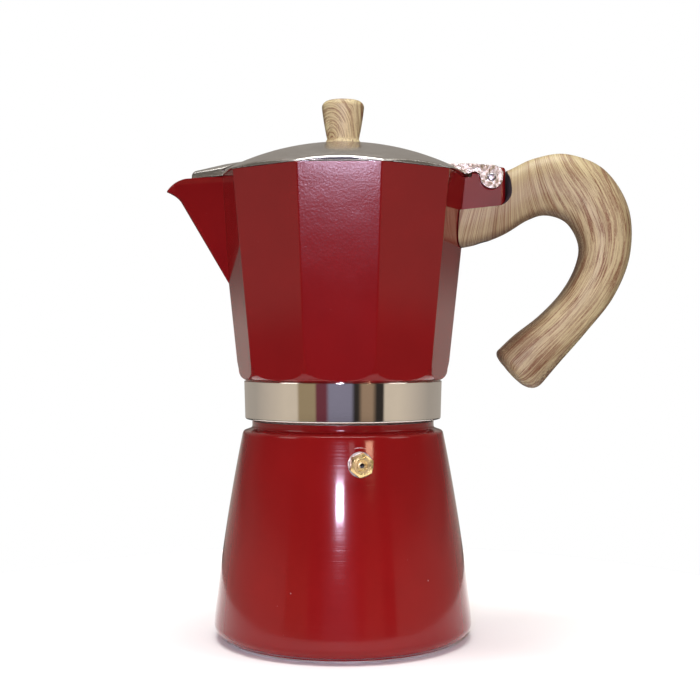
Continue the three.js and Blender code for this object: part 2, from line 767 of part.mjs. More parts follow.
// The bridge from the dome to the hinge, with an arm and an ear on each side of the jug's boss.
function hingeArms() {
  const { pinX, pinZ, earRadius, armTop, armEndTop, armBottom, bossHalfWidth, earGap } = hinge;
  const top = pinZ + armTop;
  const root = 40;
  const outline = [
    [root, pinZ + armBottom],
    [pinX - earRadius - 1.2, pinZ + armBottom],
    [pinX - earRadius, pinZ + 0.3],
    ...arc([pinX, pinZ], earRadius, 180, 360, 8).slice(1),
    ...arc([pinX, pinZ], armEndTop, 20, 90, 4),
    [bridgeEnd, top],
    [root, top],
  ];
  const inner = bossHalfWidth + earGap;
  const arms = [-1, 1].map((side) => {
    const [y0, y1] = [side * inner, side * armHalfWidth].sort((a, b) => a - b);
    return sidePlate(outline, y0, y1);
  });
  const bridge = block([root, bridgeEnd], [-inner - 1, inner + 1], [top - 2.2, top]);
  const inside = dome(lid.thickness).intersect(tenSided(lid.thickness - lid.overhang, lidBottom - 5, lid.domeHeight));
  return cut(join(...arms, bridge), cut(inside, block([bridgeEnd, 80], [-20, 20], [100, 220])));
}

function lidBody() {
  const outline = prism(lidRadius, lidRadius, lidBottom, lid.domeHeight + 2, jug.sides);
  const hollowOutline = prism(lidRadius - lid.thickness, lidRadius - lid.thickness, lidBottom - 1, lid.domeHeight, jug.sides);
  const outside = dome(0).intersect(outline);
  const hollow = dome(lid.thickness).intersect(hollowOutline);
  const shell = cut(join(outside, hood(0)), join(hollow, hood(lid.thickness)));
  const bossRoom = sidePlate(
    arc([hinge.pinX, hinge.pinZ], hinge.bossSweep + 0.3, 0, 360, 24).slice(1),
    -hinge.bossHalfWidth - hinge.earGap,
    hinge.bossHalfWidth + hinge.earGap,
  );
  const screwHole = rod(lid.holeRadius, lid.domeHeight - 5, lid.domeHeight + 5, 12);
  return cut(join(shell, hingeArms()), bossRoom, pinHole(RUNNING_FIT), screwHole);
}

function hingePin() {
  const reach = armHalfWidth + 0.25;
  return rod(hinge.pinRadius, -reach, reach).rotate([90, 0, 0]).translate([hinge.pinX, 0, hinge.pinZ]);
}

const knobBottom = lid.domeHeight + STACK_GAP;
const knobTop = knobBottom + knob.height;
const lidInside = lid.domeHeight - lid.thickness;
const washerTop = lidInside - 2 * STACK_GAP;
const knobHeadTop = washerTop - knobScrew.washerThickness - STACK_GAP;
const knobScrewTip = knobHeadTop + knobScrew.length;
const insertTop = knobBottom + insert.length + 0.3;

function knobBody() {
  const shoulder = knobTop - knob.crown - knob.round;
  const outside = turned([
    [0, knobBottom],
    [knob.footRadius, knobBottom],
    [knob.footRadius, knobBottom + 0.5],
    [knob.neckRadius + 0.35, knobBottom + knob.neckHeight - 0.7],
    [knob.neckRadius, knobBottom + knob.neckHeight],
    [knob.topRadius - 0.1, shoulder],
    ...arc([knob.topRadius - knob.round, shoulder + 0.3], knob.round, 0, 78, 4),
    [0, knobTop],
  ], 28);
  const socket = rod(insert.radius + FIT, knobBottom - 1, insertTop);
  const tipRoom = rod(knobScrew.radius + 0.5, insertTop - 1, knobScrewTip + 2, 12);
  return cut(outside, socket, tipRoom);
}

function knobInsert() {
  const bottom = knobBottom + STACK_GAP;
  return cut(
    rod(insert.radius, bottom, insertTop - 0.2),
    rod(knobScrew.radius + FIT, bottom - 1, insertTop + 1),
  );
}

// A pan-head screw pointing up, with a cross recess under its head.
function screw(radius, headRadius, headHeight, headTop, tip) {
  const head = turned([
    [0, headTop - headHeight],
    [headRadius - 0.9, headTop - headHeight],
    [headRadius, headTop - headHeight + 0.9],
    [headRadius, headTop],
    [radius, headTop],
    [radius, tip - 0.6],
    [radius - 0.6, tip],
    [0, tip],
  ], FINE);
  const arm = headRadius * 0.55;
  const depth = [headTop - headHeight - 1, headTop - headHeight * 0.45];
  const slot = 0.4;
  return cut(head, block([-arm, arm], [-slot, slot], depth), block([-slot, slot], [-arm, arm], depth));
}

const knobScrewBody = () =>
  screw(knobScrew.radius, knobScrew.headRadius, knobScrew.headHeight, knobHeadTop, knobScrewTip);

function washer(radius, hole, top, thickness) {
  return cut(rod(radius, top - thickness, top), rod(hole, top - thickness - 1, top + 1));
}

// ---------------------------------------------------------------- handle

const handleScrewHead = handleScrew.seat - STACK_GAP - handleScrew.washerThickness - STACK_GAP;
const handleScrewTip = handleScrewHead + handleScrew.reach;

// A ring across the handle between a point of its inner and of its outer outline.
function handleRing(inner, outer, half) {
  const centre = inner.clone().add(outer).divideScalar(2);
  const across = outer.clone().sub(inner).divideScalar(2);
  const power = 2 / handle.squareness;
  return Array.from({ length: handle.sectionPoints }, (_, i) => {
    const angle = (i / handle.sectionPoints) * 2 * Math.PI;
    const bend = (v) => Math.sign(v) * Math.abs(v) ** power;
    const along = bend(Math.cos(angle));
    return new THREE.Vector3(centre.x + across.x * along, half * bend(Math.sin(angle)), centre.y + across.y * along);
  });
}

// A point given from the corner of the jug's rim.
const fromRim = ([x, z]) => new THREE.Vector2(jug.rimRadius + x, jug.rimHeight + z);

function handleShape() {
  const spline = (key) => new THREE.SplineCurve(HANDLE_STATIONS.map((s) => fromRim(s[key])));
  const [inner, outer] = [spline("inner"), spline("outer")];
  const widths = new THREE.SplineCurve(HANDLE_STATIONS.map((s, i) => new THREE.Vector2(i, s.half)));
  const rings = [];
  for (let i = 0; i <= handle.sections; i++) {
    const t = i / handle.sections;
    rings.push(handleRing(inner.getPoint(t), outer.getPoint(t), widths.getPoint(t).y));
  }
  const end = HANDLE_END;
  const last = HANDLE_STATIONS.at(-1);
  const between = (key, t) => fromRim(last[key]).lerp(fromRim(end[key]), t);
  rings.push(handleRing(between("inner", 0.6), between("outer", 0.75), THREE.MathUtils.lerp(last.half, end.half, 0.3)));
  rings.push(handleRing(between("inner", 1), between("outer", 1), end.half));
  const shrink = (v) => fromRim(end[v]).lerp(fromRim(end[v === "inner" ? "outer" : "inner"]), 0.16);
  const nudge = new THREE.Vector2(-0.9, -0.9);
  rings.push(handleRing(shrink("inner").add(nudge), shrink("outer").add(nudge), end.half * 0.72));
  return loft(rings);
}

// The notch that takes the boss and the hinge. It opens out from the boss towards the handle's sides.
function handleNotch() {
  const { notchInner, notchFlare, notchRound, notchSlope } = handle;
  const inner = hinge.bossHalfWidth + 0.3;
  const outer = handle.halfWidth + 3;
  const outline = (grow) => {
    const wall = notchInner.x + grow;
    const floor = notchInner.z + grow * 0.4;
    const corner = arc([wall - notchRound, floor + notchRound], notchRound, -90, 0, 4);
    return [[30, 215], [30, floor - notchSlope * 30], ...corner, [wall + 0.6, 215]];
  };
  const ring = (y, grow) => outline(grow).map(([x, z]) => new THREE.Vector3(x, y, z));
  const flare = notchFlare * ((outer - inner) / (handle.halfWidth - inner));
  return loft([ring(-outer, flare), ring(-inner, 0), ring(inner, 0), ring(outer, flare)]);
}

function handleBody() {
  const bossSlot = block(
    [30, hinge.bossEnd + 0.3],
    [-hinge.bossHalfWidth - 0.3, hinge.bossHalfWidth + 0.3],
    [hinge.bossBottom - 0.3, 215],
  );
  const top = jug.rimHeight + 10;
  const jugRoom = prism(jugRadius(140) + handle.jugGap / 0.95, jugRadius(top) + handle.jugGap / 0.95, 140, top, jug.sides);
  const counterbore = rod(handleScrew.boreRadius, 140, handleScrew.seat);
  const shankHole = rod(handleScrew.radius + 0.4, handleScrew.seat - 1, hinge.bossBottom + 1);
  const screwWay = join(counterbore, shankHole).translate([handleScrew.x, 0, 0]);
  return cut(handleShape(), handleNotch(), bossSlot, jugRoom, screwWay);
}

const handleScrewBody = () =>
  screw(handleScrew.radius, handleScrew.headRadius, handleScrew.headHeight, handleScrewHead, handleScrewTip)
    .translate([handleScrew.x, 0, 0]);

const handleWasher = () =>
  washer(handleScrew.washerRadius, handleScrew.radius + FIT, handleScrew.seat - STACK_GAP, handleScrew.washerThickness)
    .translate([handleScrew.x, 0, 0]);

// ---------------------------------------------------------------- assembly

const pot = new THREE.Group();

const safetyValve = new THREE.Group();
safetyValve.add(
  piece("valve_body", valvePlace(valveBody()), finish.brass),
  piece("valve_washer", valvePlace(valveWasher()), finish.aluminium),
  piece("valve_ball", valvePlace(valveBall()), finish.steel),
  piece("valve_spring", valvePlace(valveSpring()), finish.steel),
  piece("valve_plug", valvePlace(valvePlug()), finish.brass),
);

const filter = new THREE.Group();
filter.add(
  piece("funnel", funnelBody(), finish.aluminium),
  piece("funnel_sieve", funnelSieve(), finish.aluminium),
  piece("gasket", gasketRing(), finish.rubber),
  piece("filter_plate", filterPlate(), finish.aluminium),
);

const top = new THREE.Group();
top.add(
  piece("jug", jugBody(), finish.enamel),
  piece("hinge_pin", hingePin(), finish.steel),
  piece("handle", handleBody(), finish.woodgrain),
  piece("handle_screw", handleScrewBody(), finish.steel),
  piece("handle_washer", handleWasher(), finish.steel),
);

const cover = new THREE.Group();
cover.add(
  piece("lid", lidBody(), finish.polished),
  piece("knob", knobBody(), finish.woodgrain),
  piece("knob_insert", knobInsert(), finish.brass),
  piece("knob_screw", knobScrewBody(), finish.steel),
  piece("knob_washer", washer(knobScrew.washerRadius, knobScrew.radius + FIT, washerTop, knobScrew.washerThickness), finish.steel),
);

pot.add(piece("boiler", boilerBody(), finish.enamel), safetyValve, filter, top, cover);

export default pot;
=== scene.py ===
import math
from types import SimpleNamespace

import bmesh
import bpy
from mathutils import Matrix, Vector


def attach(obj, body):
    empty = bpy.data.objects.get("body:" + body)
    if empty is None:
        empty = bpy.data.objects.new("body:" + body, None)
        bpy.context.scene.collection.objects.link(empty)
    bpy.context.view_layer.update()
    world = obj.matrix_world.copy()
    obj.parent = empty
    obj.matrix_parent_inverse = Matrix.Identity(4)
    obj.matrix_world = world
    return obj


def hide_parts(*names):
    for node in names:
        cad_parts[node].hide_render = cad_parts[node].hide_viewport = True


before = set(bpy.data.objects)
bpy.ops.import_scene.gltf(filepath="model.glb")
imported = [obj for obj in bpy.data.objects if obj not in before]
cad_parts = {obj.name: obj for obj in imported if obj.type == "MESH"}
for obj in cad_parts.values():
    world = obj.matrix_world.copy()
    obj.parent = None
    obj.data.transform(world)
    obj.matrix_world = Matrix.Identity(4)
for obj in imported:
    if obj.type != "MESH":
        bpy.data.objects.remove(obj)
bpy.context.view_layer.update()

# ---- sizes in millimetres, as in the CAD model

MM = 0.001
STACK_GAP = 0.1
ROUND = 144  # sides of a large turned piece
FINE = 48  # sides of a small turned piece
ON_AXIS = 1e-6  # a radius below this counts as a point on the axis
WELD = 2e-6  # metres between points that are merged
SLIVER = 1e-6  # metres, the shortest edge that is kept
HOLE_PITCH = 2.6  # of the sieve and the filter plate
FLOOR_RADIUS = 215
FLOOR_SIDES = 128
FLOOR_Z = -0.05  # just under the pot, so that the two never share a plane
ARM_ROOT = 40  # where the lid's hinge arms start, under the dome
THREAD_SIDES = 96  # steps in one turn of the thread
THREAD_SUNK = 0.35  # how far the foot of the ridge is sunk in the wall

BOILER = SimpleNamespace(foot=46.4, foot_height=1.0, radius=50.98, radius_z=6.4, shoulder=39.9,
    shoulder_z=80.4, bulge=1.9, wall=2.5, floor=3.2, neck=36.1, neck_bore=31.8, neck_z=83.2, height=93.6,
    painted_to=84.9)
THREAD = SimpleNamespace(lead=3.0, turns=1.8, depth=0.9, root_width=1.9, crest_width=0.7, clearance=0.45,
    start=87.2)
VALVE = SimpleNamespace(bearing=-79.5, height=71.3, seat=40.5, spot=4.75, boss=6.2, boss_depth=5.6,
    flats=7.9, hex_length=4.0, washer=4.1, washer_thickness=0.8, stem=3.0, stem_length=8.6, chamber=2.0,
    vent=0.95, vent_length=2.2, ring=1.8, ring_depth=0.6, plug=2.35, plug_length=1.9, plug_bore=1.0,
    fit=0.15)
FUNNEL = SimpleNamespace(flange=34.9, thickness=1.0, basket=29.4, taper=0.6, depth=22.6, wall=0.9,
    ledge=1.3, cone=9.5, stem=5.6, stem_taper=0.7, bore=4.5, end=6.0)
GASKET = SimpleNamespace(outer=35.7, inner=27.6, thickness=3.2)
PLATE = SimpleNamespace(radius=33.0, thickness=0.8)
JUG = SimpleNamespace(sides=10, rim=50.2, rim_z=181.4, taper=0.107, wall=2.4, bottom=101.1,
    bottom_round=4.6, floor=104.6, skirt=39.3, skirt_taper=0.4, skirt_z=86.1, skirt_round=0.7,
    cavity=26.0, cavity_depth=2.4, corner=1.5)
COLUMN = SimpleNamespace(base=9.0, top=6.3, height=164.0, base_bore=4.6, top_bore=3.6, cap=2.6, slot=3.4,
    slot_height=8.0)
SPOUT = SimpleNamespace(root=9.6, keel_bottom=(-45.9, 140.2), keel_top=(-64.5, 171.8),
    tip=(-70.54, 176.8), lip_back=-63.6, nose=2.3, wall=1.7)
HINGE = SimpleNamespace(x=58.5, z=181.0, pin=1.5, boss=5.8, boss_end=64.3, boss_top=185.2,
    boss_bottom=166.8, sweep=7.7, gap=0.35, ear_thickness=2.5, ear=4.4, arm_top=5.4, arm_end_top=4.8,
    arm_bottom=1.3, bridge_gap=0.5)
LID = SimpleNamespace(overhang=0.3, gap=0.25, dome_z=194.85, dome_radius=102.0, thickness=1.4, land=8.0,
    hood_end=-60.3, hood_back=-35.0, hood_half=3.2, hood_crest=0.8, hole=2.1)
# Heights of the spout hood's ridge and of its sides' upper edges, at the tip, the root and the back.
HOOD_RIDGE = (184.9, 187.6, 189.2)
HOOD_EAVE = (184.0, 184.8, 188.0)
KNOB = SimpleNamespace(top=8.45, neck=6.35, foot=7.4, height=17.84, neck_height=2.5, round=2.6, crown=0.6)
HANDLE = SimpleNamespace(half=9.8, gap=0.35, notch=(64.75, 169.0), flare=1.4, notch_round=6.0, slope=0.11,
    square=2.5)
# Matching points of the handle's inner and outer outlines, and its half width there, from jug to tip.
HANDLE_STATIONS = [((44.0, 153.4), (44.0, 178.0), 9.8), ((54.0, 155.4), (55.5, 181.4), 9.8),
    ((64.0, 159.2), (65.5, 184.6), 10.0), ((73.5, 164.9), (76.0, 189.3), 10.2),
    ((81.0, 166.9), (89.0, 190.9), 10.6), ((89.2, 163.8), (103.6, 184.6), 10.9),
    ((93.8, 155.0), (113.0, 169.5), 11.0), ((92.2, 145.8), (113.6, 151.0), 11.0),
    ((86.6, 136.0), (107.2, 134.4), 10.9), ((78.0, 126.9), (96.4, 120.4), 10.9),
    ((68.4, 119.4), (85.6, 108.0), 11.2), ((62.2, 113.6), (79.4, 100.6), 11.2),]
HANDLE_END = ((63.4, 108.1), (71.8, 99.2), 7.6)
HANDLE_CORNERS = ((59.8, 111.8), (76.2, 96.6))  # which the end's two rounded corners are drawn towards
HANDLE_CROWN = 0.6  # how far the end face stands out in its middle
HANDLE_SCREW_X = 55.0
HANDLE_SCREW_SEAT = 161.4
HANDLE_SCREW_BORE = 3.2

# ---- mesh helpers


def add_object(name, mesh):
    made = bpy.data.objects.new(name, mesh)
    bpy.context.scene.collection.objects.link(made)
    return made


def mesh_object(name, points, faces, material=None):
    """An object from points in millimetres, with every face turned outwards."""
    mesh = bpy.data.meshes.new(name)
    mesh.from_pydata([Vector(p) * MM for p in points], [], faces)
    work = bmesh.new()
    work.from_mesh(mesh)
    bmesh.ops.recalc_face_normals(work, faces=work.faces)
    work.to_mesh(mesh)
    work.free()
    if material:
        mesh.materials.append(material)
    return add_object(name, mesh)


def loft(name, rings, material=None):
    """A closed solid through rings of equally many points, its ends closed by fans."""
    count = len(rings[0])
    points = [p for ring in rings for p in ring]
    faces = []
    for k in range(len(rings) - 1):
        for i in range(count):
            j = (i + 1) % count
            faces.append((k * count + i, k * count + j, (k + 1) * count + j, (k + 1) * count + i))
    for start in (0, (len(rings) - 1) * count):
        ring = points[start:start + count]
        points.append(tuple(sum(p[a] for p in ring) / count for a in range(3)))
        for i in range(count):
            faces.append((len(points) - 1, start + i, start + (i + 1) % count))
    return mesh_object(name, points, faces, material)


def turned(name, profile, material=None, sides=ROUND, closed=False):
    """A solid turned about +Z from (radius, height) points, which end on the axis or close into a ring."""
    points = []
    rows = []
    for radius, z in profile:
        if radius < ON_AXIS:
            rows.append([len(points)] * sides)
            points.append((0, 0, z))
            continue
        rows.append(list(range(len(points), len(points) + sides)))
        for i in range(sides):
            angle = 2 * math.pi * i / sides
            points.append((radius * math.cos(angle), radius * math.sin(angle), z))
    if closed:
        rows.append(rows[0])
    faces = []
    for low, high in zip(rows, rows[1:]):
        for i in range(sides):
            j = (i + 1) % sides
            corners = list(dict.fromkeys([low[i], low[j], high[j], high[i]]))
            if len(corners) > 2:
                faces.append(corners)
    return mesh_object(name, points, faces, material)


def rod(name, radius, z0, z1, material=None, sides=FINE):
    return turned(name, [(0, z0), (radius, z0), (radius, z1), (0, z1)], material, sides)


def block(name, xs, ys, zs, material=None):
    ring = [(xs[0], ys[0]), (xs[1], ys[0]), (xs[1], ys[1]), (xs[0], ys[1])]
    return loft(name, [[(x, y, z) for x, y in ring] for z in zs], material)


def side_plate(name, outline, y0, y1, material=None):
    """A solid between two planes of constant Y, from (x, z) outline points."""
    points = [(x, y, z) for y in (y0, y1) for x, z in outline]
    count = len(outline)
    faces = [tuple(range(count)), tuple(range(count, 2 * count))]
    for i in range(count):
        j = (i + 1) % count
        faces.append((i, j, count + j, count + i))
    return mesh_object(name, points, faces, material)


def baked_mesh(obj):
    """Applies an object's modifiers."""
    bpy.context.view_layer.update()
    seen = obj.evaluated_get(bpy.context.evaluated_depsgraph_get())
    mesh = bpy.data.meshes.new_from_object(seen)
    obj.modifiers.clear()
    old = obj.data
    obj.data = mesh
    bpy.data.meshes.remove(old)
    return obj


def combine(body, tool, operation):
    change = body.modifiers.new("combine", "BOOLEAN")
    change.operation = operation
    change.solver = "MANIFOLD"
    change.material_mode = "TRANSFER"
    change.object = tool
    baked_mesh(body)
    bpy.data.objects.remove(tool)
    return body


def cut(body, *tools):
    for tool in tools:
        combine(body, tool, "DIFFERENCE")
    return body


def join(body, *tools):
    for tool in tools:
        combine(body, tool, "UNION")
    return body


def common(body, tool):
    return combine(body, tool, "INTERSECT")


def merge_shells(body, *others):
    """Puts separate closed shells into one object, without a boolean."""
    work = bmesh.new()
    work.from_mesh(body.data)
    for other in others:
        slots = {}
        for i, material in enumerate(other.data.materials):
            if material.name not in body.data.materials:
                body.data.materials.append(material)
            slots[i] = body.data.materials.find(material.name)
        start = len(work.faces)
        work.from_mesh(other.data)
        work.faces.ensure_lookup_table()
        for face in work.faces[start:]:
            face.material_index = slots.get(face.material_index, 0)
        bpy.data.objects.remove(other)
    work.to_mesh(body.data)
    work.free()
    return body


def shade(obj, sharp_degrees=28.0, weighted=True):
    """Smooth faces with sharp edges where they turn by more than an angle."""
    work = bmesh.new()
    work.from_mesh(obj.data)
    bmesh.ops.remove_doubles(work, verts=work.verts, dist=WELD)
    bmesh.ops.dissolve_degenerate(work, edges=work.edges, dist=SLIVER)
    limit = math.radians(sharp_degrees)
    for face in work.faces:
        face.smooth = True
    for edge in work.edges:
        edge.smooth = edge.is_manifold and edge.calc_face_angle(0.0) < limit
    work.to_mesh(obj.data)
    work.free()
    if weighted:
        normals = obj.modifiers.new("flat facets", "WEIGHTED_NORMAL")
        normals.keep_sharp = True
        normals.weight = 60
    return obj


def round_edges(obj, width, degrees=35.0, segments=3):
    bevel = obj.modifiers.new("edge rounding", "BEVEL")
    bevel.width = width * MM
    bevel.segments = segments
    bevel.limit_method = "ANGLE"
    bevel.angle_limit = math.radians(degrees)
    bevel.harden_normals = False
    return baked_mesh(obj)


def place(obj, rotation=None, offset=None):
    """Moves an object's mesh, not the object: rotation is a matrix, offset is in millimetres."""
    if rotation is not None:
        obj.data.transform(rotation.to_4x4())
    if offset is not None:
        for vertex in obj.data.vertices:
            vertex.co += Vector(offset) * MM
    return obj


def arc(centre, radius, start, end, steps):
    angles = [math.radians(start + (end - start) * i / steps) for i in range(steps + 1)]
    return [(centre[0] + radius * math.cos(a), centre[1] + radius * math.sin(a)) for a in angles]


def bezier(a, b, c, steps):
    made = []
    for i in range(steps + 1):
        t = i / steps
        made.append(tuple((1 - t) ** 2 * p + 2 * t * (1 - t) * q + t * t * r for p, q, r in zip(a, b, c)))
    return made


def smoothstep(low, high, value):
    t = min(1.0, max(0.0, (value - low) / (high - low)))
    return t * t * (3 - 2 * t)


def piece(obj, body, slot, *nodes):
    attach(obj, body)
    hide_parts(*nodes)
    return obj


# ---- material helpers


def new_material(name, colour, roughness, metallic=0.0):
    material = bpy.data.materials.new(name)
    material.use_nodes = True
    shader = material.node_tree.nodes["Principled BSDF"]
    shader.inputs["Base Color"].default_value = (*colour, 1.0)
    shader.inputs["Roughness"].default_value = roughness
    shader.inputs["Metallic"].default_value = metallic
    return material, material.node_tree, shader


def node(tree, kind, **settings):
    made = tree.nodes.new(kind)
    for key, value in settings.items():
        if key in made.inputs:
            made.inputs[key].default_value = value
        else:
            setattr(made, key, value)
    return made


def scaled(tree, source, scale, offset=(0.0, 0.0, 0.0)):
    """A coordinate multiplied by a scale."""
    made = node(tree, "ShaderNodeMapping")
    made.inputs["Scale"].default_value = scale
    made.inputs["Location"].default_value = offset
    tree.links.new(source, made.inputs["Vector"])
    return made.outputs["Vector"]


def noise(tree, vector, scale, detail=4.0, roughness=0.55, distortion=0.0):
    made = node(tree, "ShaderNodeTexNoise")
    made.inputs["Scale"].default_value = scale
    made.inputs["Detail"].default_value = detail
    made.inputs["Roughness"].default_value = roughness
    made.inputs["Distortion"].default_value = distortion
    tree.links.new(vector, made.inputs["Vector"])
    return made.outputs["Fac"]


def ramp(tree, source, stops):
    made = node(tree, "ShaderNodeValToRGB")
    elements = made.color_ramp.elements
    while len(elements) > 1:
        elements.remove(elements[-1])
    for i, (position, colour) in enumerate(stops):
        element = elements[0] if i == 0 else elements.new(position)
        element.position = position
        element.color = (*colour, 1.0) if isinstance(colour, tuple) else (colour, colour, colour, 1.0)
    tree.links.new(source, made.inputs["Fac"])
    return made.outputs["Color"]


def math_node(tree, operation, a, b=None):
    made = node(tree, "ShaderNodeMath", operation=operation)
    for socket, value in zip(made.inputs, (a, b)):
        if value is None:
            continue
        if isinstance(value, (int, float)):
            socket.default_value = value
        else:
            tree.links.new(value, socket)
    return made.outputs[0]


def mix_colour(tree, factor, a, b, blend="MIX"):
    made = node(tree, "ShaderNodeMix", data_type="RGBA", blend_type=blend)
    for socket, value in ((made.inputs["Factor"], factor), (made.inputs[6], a), (made.inputs[7], b)):
        if isinstance(value, (int, float)):
            socket.default_value = value
        elif isinstance(value, tuple):
            socket.default_value = (*value, 1.0)
        else:
            tree.links.new(value, socket)
    return made.outputs[2]


def bump(tree, shader, height, distance, strength=1.0, edge=0.0):
    """A bump of a height in metres, over edges softened by a radius in metres."""
    made = node(tree, "ShaderNodeBump")
    made.inputs["Strength"].default_value = strength
    made.inputs["Distance"].default_value = distance
    tree.links.new(height, made.inputs["Height"])
    if edge:
        soft = node(tree, "ShaderNodeBevel", samples=4)
        soft.inputs["Radius"].default_value = edge
        tree.links.new(soft.outputs["Normal"], made.inputs["Normal"])
    tree.links.new(made.outputs["Normal"], shader.inputs["Normal"])


def worn_edges(tree, radius, gain):
    """A mask that rises towards edges, where handling wears a finish."""
    soft = node(tree, "ShaderNodeBevel", samples=4)
    soft.inputs["Radius"].default_value = radius
    shape = node(tree, "ShaderNodeNewGeometry")
    alike = node(tree, "ShaderNodeVectorMath", operation="DOT_PRODUCT")
    tree.links.new(soft.outputs["Normal"], alike.inputs[0])
    tree.links.new(shape.outputs["Normal"], alike.inputs[1])
    raised = math_node(tree, "MULTIPLY", math_node(tree, "SUBTRACT", 1.0, alike.outputs["Value"]), gain)
    return math_node(tree, "MINIMUM", math_node(tree, "MAXIMUM", raised, 0.0), 1.0)


def object_coordinates(tree):
    return node(tree, "ShaderNodeTexCoord").outputs["Object"]


def sum_of(tree, *terms):
    """The sum of (source, weight) pairs."""
    total = None
    for source, weight in terms:
        part = math_node(tree, "MULTIPLY", source, weight)
        total = part if total is None else math_node(tree, "ADD", total, part)
    return total


def shades(colour, *factors):
    return [tuple(min(1.0, c * f) for c in colour) for f in factors]


# ---- materials


def enamel_material(name, colour, peel_height, line_height, gloss_roughness):
    """Glossy sprayed enamel with long waves, fine peel, dust specks, turning lines and paler worn edges."""
    material, tree, shader = new_material(name, colour, 0.18)
    where = object_coordinates(tree)
    dark, light, edge = shades(colour, 0.92, 1.07, 1.5)
    tint = ramp(tree, noise(tree, where, 26.0, 3.0), [(0.30, dark), (0.70, light)])
    specks = ramp(tree, noise(tree, where, 620.0, 1.0), [(0.815, 0.0), (0.84, 0.5)])
    tint = mix_colour(tree, specks, tint, (0.60, 0.45, 0.45))
    tint = mix_colour(tree, worn_edges(tree, 0.0007, 1.6), tint, edge)
    tree.links.new(tint, shader.inputs["Base Color"])
    waves = noise(tree, where, 60.0, 2.0)
    peel = noise(tree, where, 1150.0, 2.0)
    lines = noise(tree, scaled(tree, where, (30.0, 30.0, 1900.0)), 1.0, 1.0)
    height = sum_of(tree, (waves, 1.0), (peel, peel_height), (lines, line_height))
    bump(tree, shader, height, 0.00008, 1.0, edge=0.00035)
    tree.links.new(ramp(tree, noise(tree, where, 60.0, 4.0), [(0.25, 0.15), (0.75, 0.21)]),
        shader.inputs["Roughness"])
    shader.inputs["Specular IOR Level"].default_value = 0.09
    shader.inputs["Coat Weight"].default_value = 1.0
    shader.inputs["Coat Roughness"].default_value = gloss_roughness
    shader.inputs["Coat IOR"].default_value = 1.28
    return material


def metal_material(name, colour, roughness, stretch, relief, edge=0.0004, stain=0.90):
    """Turned, brushed or pressed metal: fine stretched lines, faint stains and brighter edges."""
    material, tree, shader = new_material(name, colour, roughness, 1.0)
    where = object_coordinates(tree)
    lines = noise(tree, scaled(tree, where, stretch), 1.0, 3.0, 0.6)
    stains = noise(tree, where, 42.0, 4.0)
    dull, bright = shades(colour, stain, 1.12)
    tone = ramp(tree, stains, [(0.32, dull), (0.62, colour)])
    tree.links.new(mix_colour(tree, worn_edges(tree, edge * 1.5, 2.0), tone, bright),
        shader.inputs["Base Color"])
    tree.links.new(ramp(tree, lines, [(0.30, roughness * 0.72), (0.70, roughness * 1.30)]),
        shader.inputs["Roughness"])
    pits = noise(tree, where, 1300.0, 2.0)
    height = sum_of(tree, (lines, 0.5), (pits, 1.0), (stains, 0.8))
    bump(tree, shader, height, relief, 1.0, edge=edge)
    return material


def cast_material(name, colour):
    """Bare as-cast metal with a coarse, lumpy skin and burnished high spots."""
    material, tree, shader = new_material(name, colour, 0.34, 1.0)
    where = object_coordinates(tree)
    lumps = noise(tree, where, 720.0, 4.0, 0.6)
    grit = noise(tree, where, 1700.0, 3.0, 0.6)
    deep, middle, high = (0.13, 0.11, 0.06), colour, (0.56, 0.56, 0.48)
    tone = ramp(tree, lumps, [(0.36, deep), (0.50, middle), (0.62, high)])
    tree.links.new(mix_colour(tree, worn_edges(tree, 0.0008, 2.2), tone, high), shader.inputs["Base Color"])
    tree.links.new(ramp(tree, grit, [(0.3, 0.44), (0.7, 0.24)]), shader.inputs["Roughness"])
    bump(tree, shader, sum_of(tree, (lumps, 1.0), (grit, 0.35)), 0.00022, 1.0, edge=0.0003)
    return material


def small_metal_material(name, colour, low, high):
    """The metal of small turned pieces."""
    material, tree, shader = new_material(name, colour, (low + high) / 2, 1.0)
    where = object_coordinates(tree)
    tone = noise(tree, where, 420.0, 4.0)
    dull, fair, bright = shades(colour, 0.72, 1.08, 1.30)
    mixed = ramp(tree, tone, [(0.32, dull), (0.66, fair)])
    tree.links.new(mix_colour(tree, worn_edges(tree, 0.0003, 2.0), mixed, bright),
        shader.inputs["Base Color"])
    tree.links.new(ramp(tree, tone, [(0.3, high), (0.7, low)]), shader.inputs["Roughness"])
    bump(tree, shader, noise(tree, where, 2400.0, 2.0), 0.00002, 1.0, edge=0.00018)
    return material


def dull_material(name, colour, roughness, relief):
    """Rubber or moulded plastic with a fine grain, uneven tone and rubbed edges."""
    material, tree, shader = new_material(name, colour, roughness)
    where = object_coordinates(tree)
    dark, light, rubbed = shades(colour, 0.78, 1.18, 1.45)
    tone = ramp(tree, noise(tree, where, 160.0, 5.0), [(0.3, dark), (0.7, light)])
    tree.links.new(mix_colour(tree, worn_edges(tree, 0.0005, 1.5), tone, rubbed), shader.inputs["Base Color"])
    tree.links.new(ramp(tree, noise(tree, where, 90.0, 3.0), [(0.3, roughness * 0.85),
        (0.7, roughness * 1.15)]), shader.inputs["Roughness"])
    bump(tree, shader, noise(tree, where, 1600.0, 3.0), relief, 0.8, edge=0.0003)
    return material


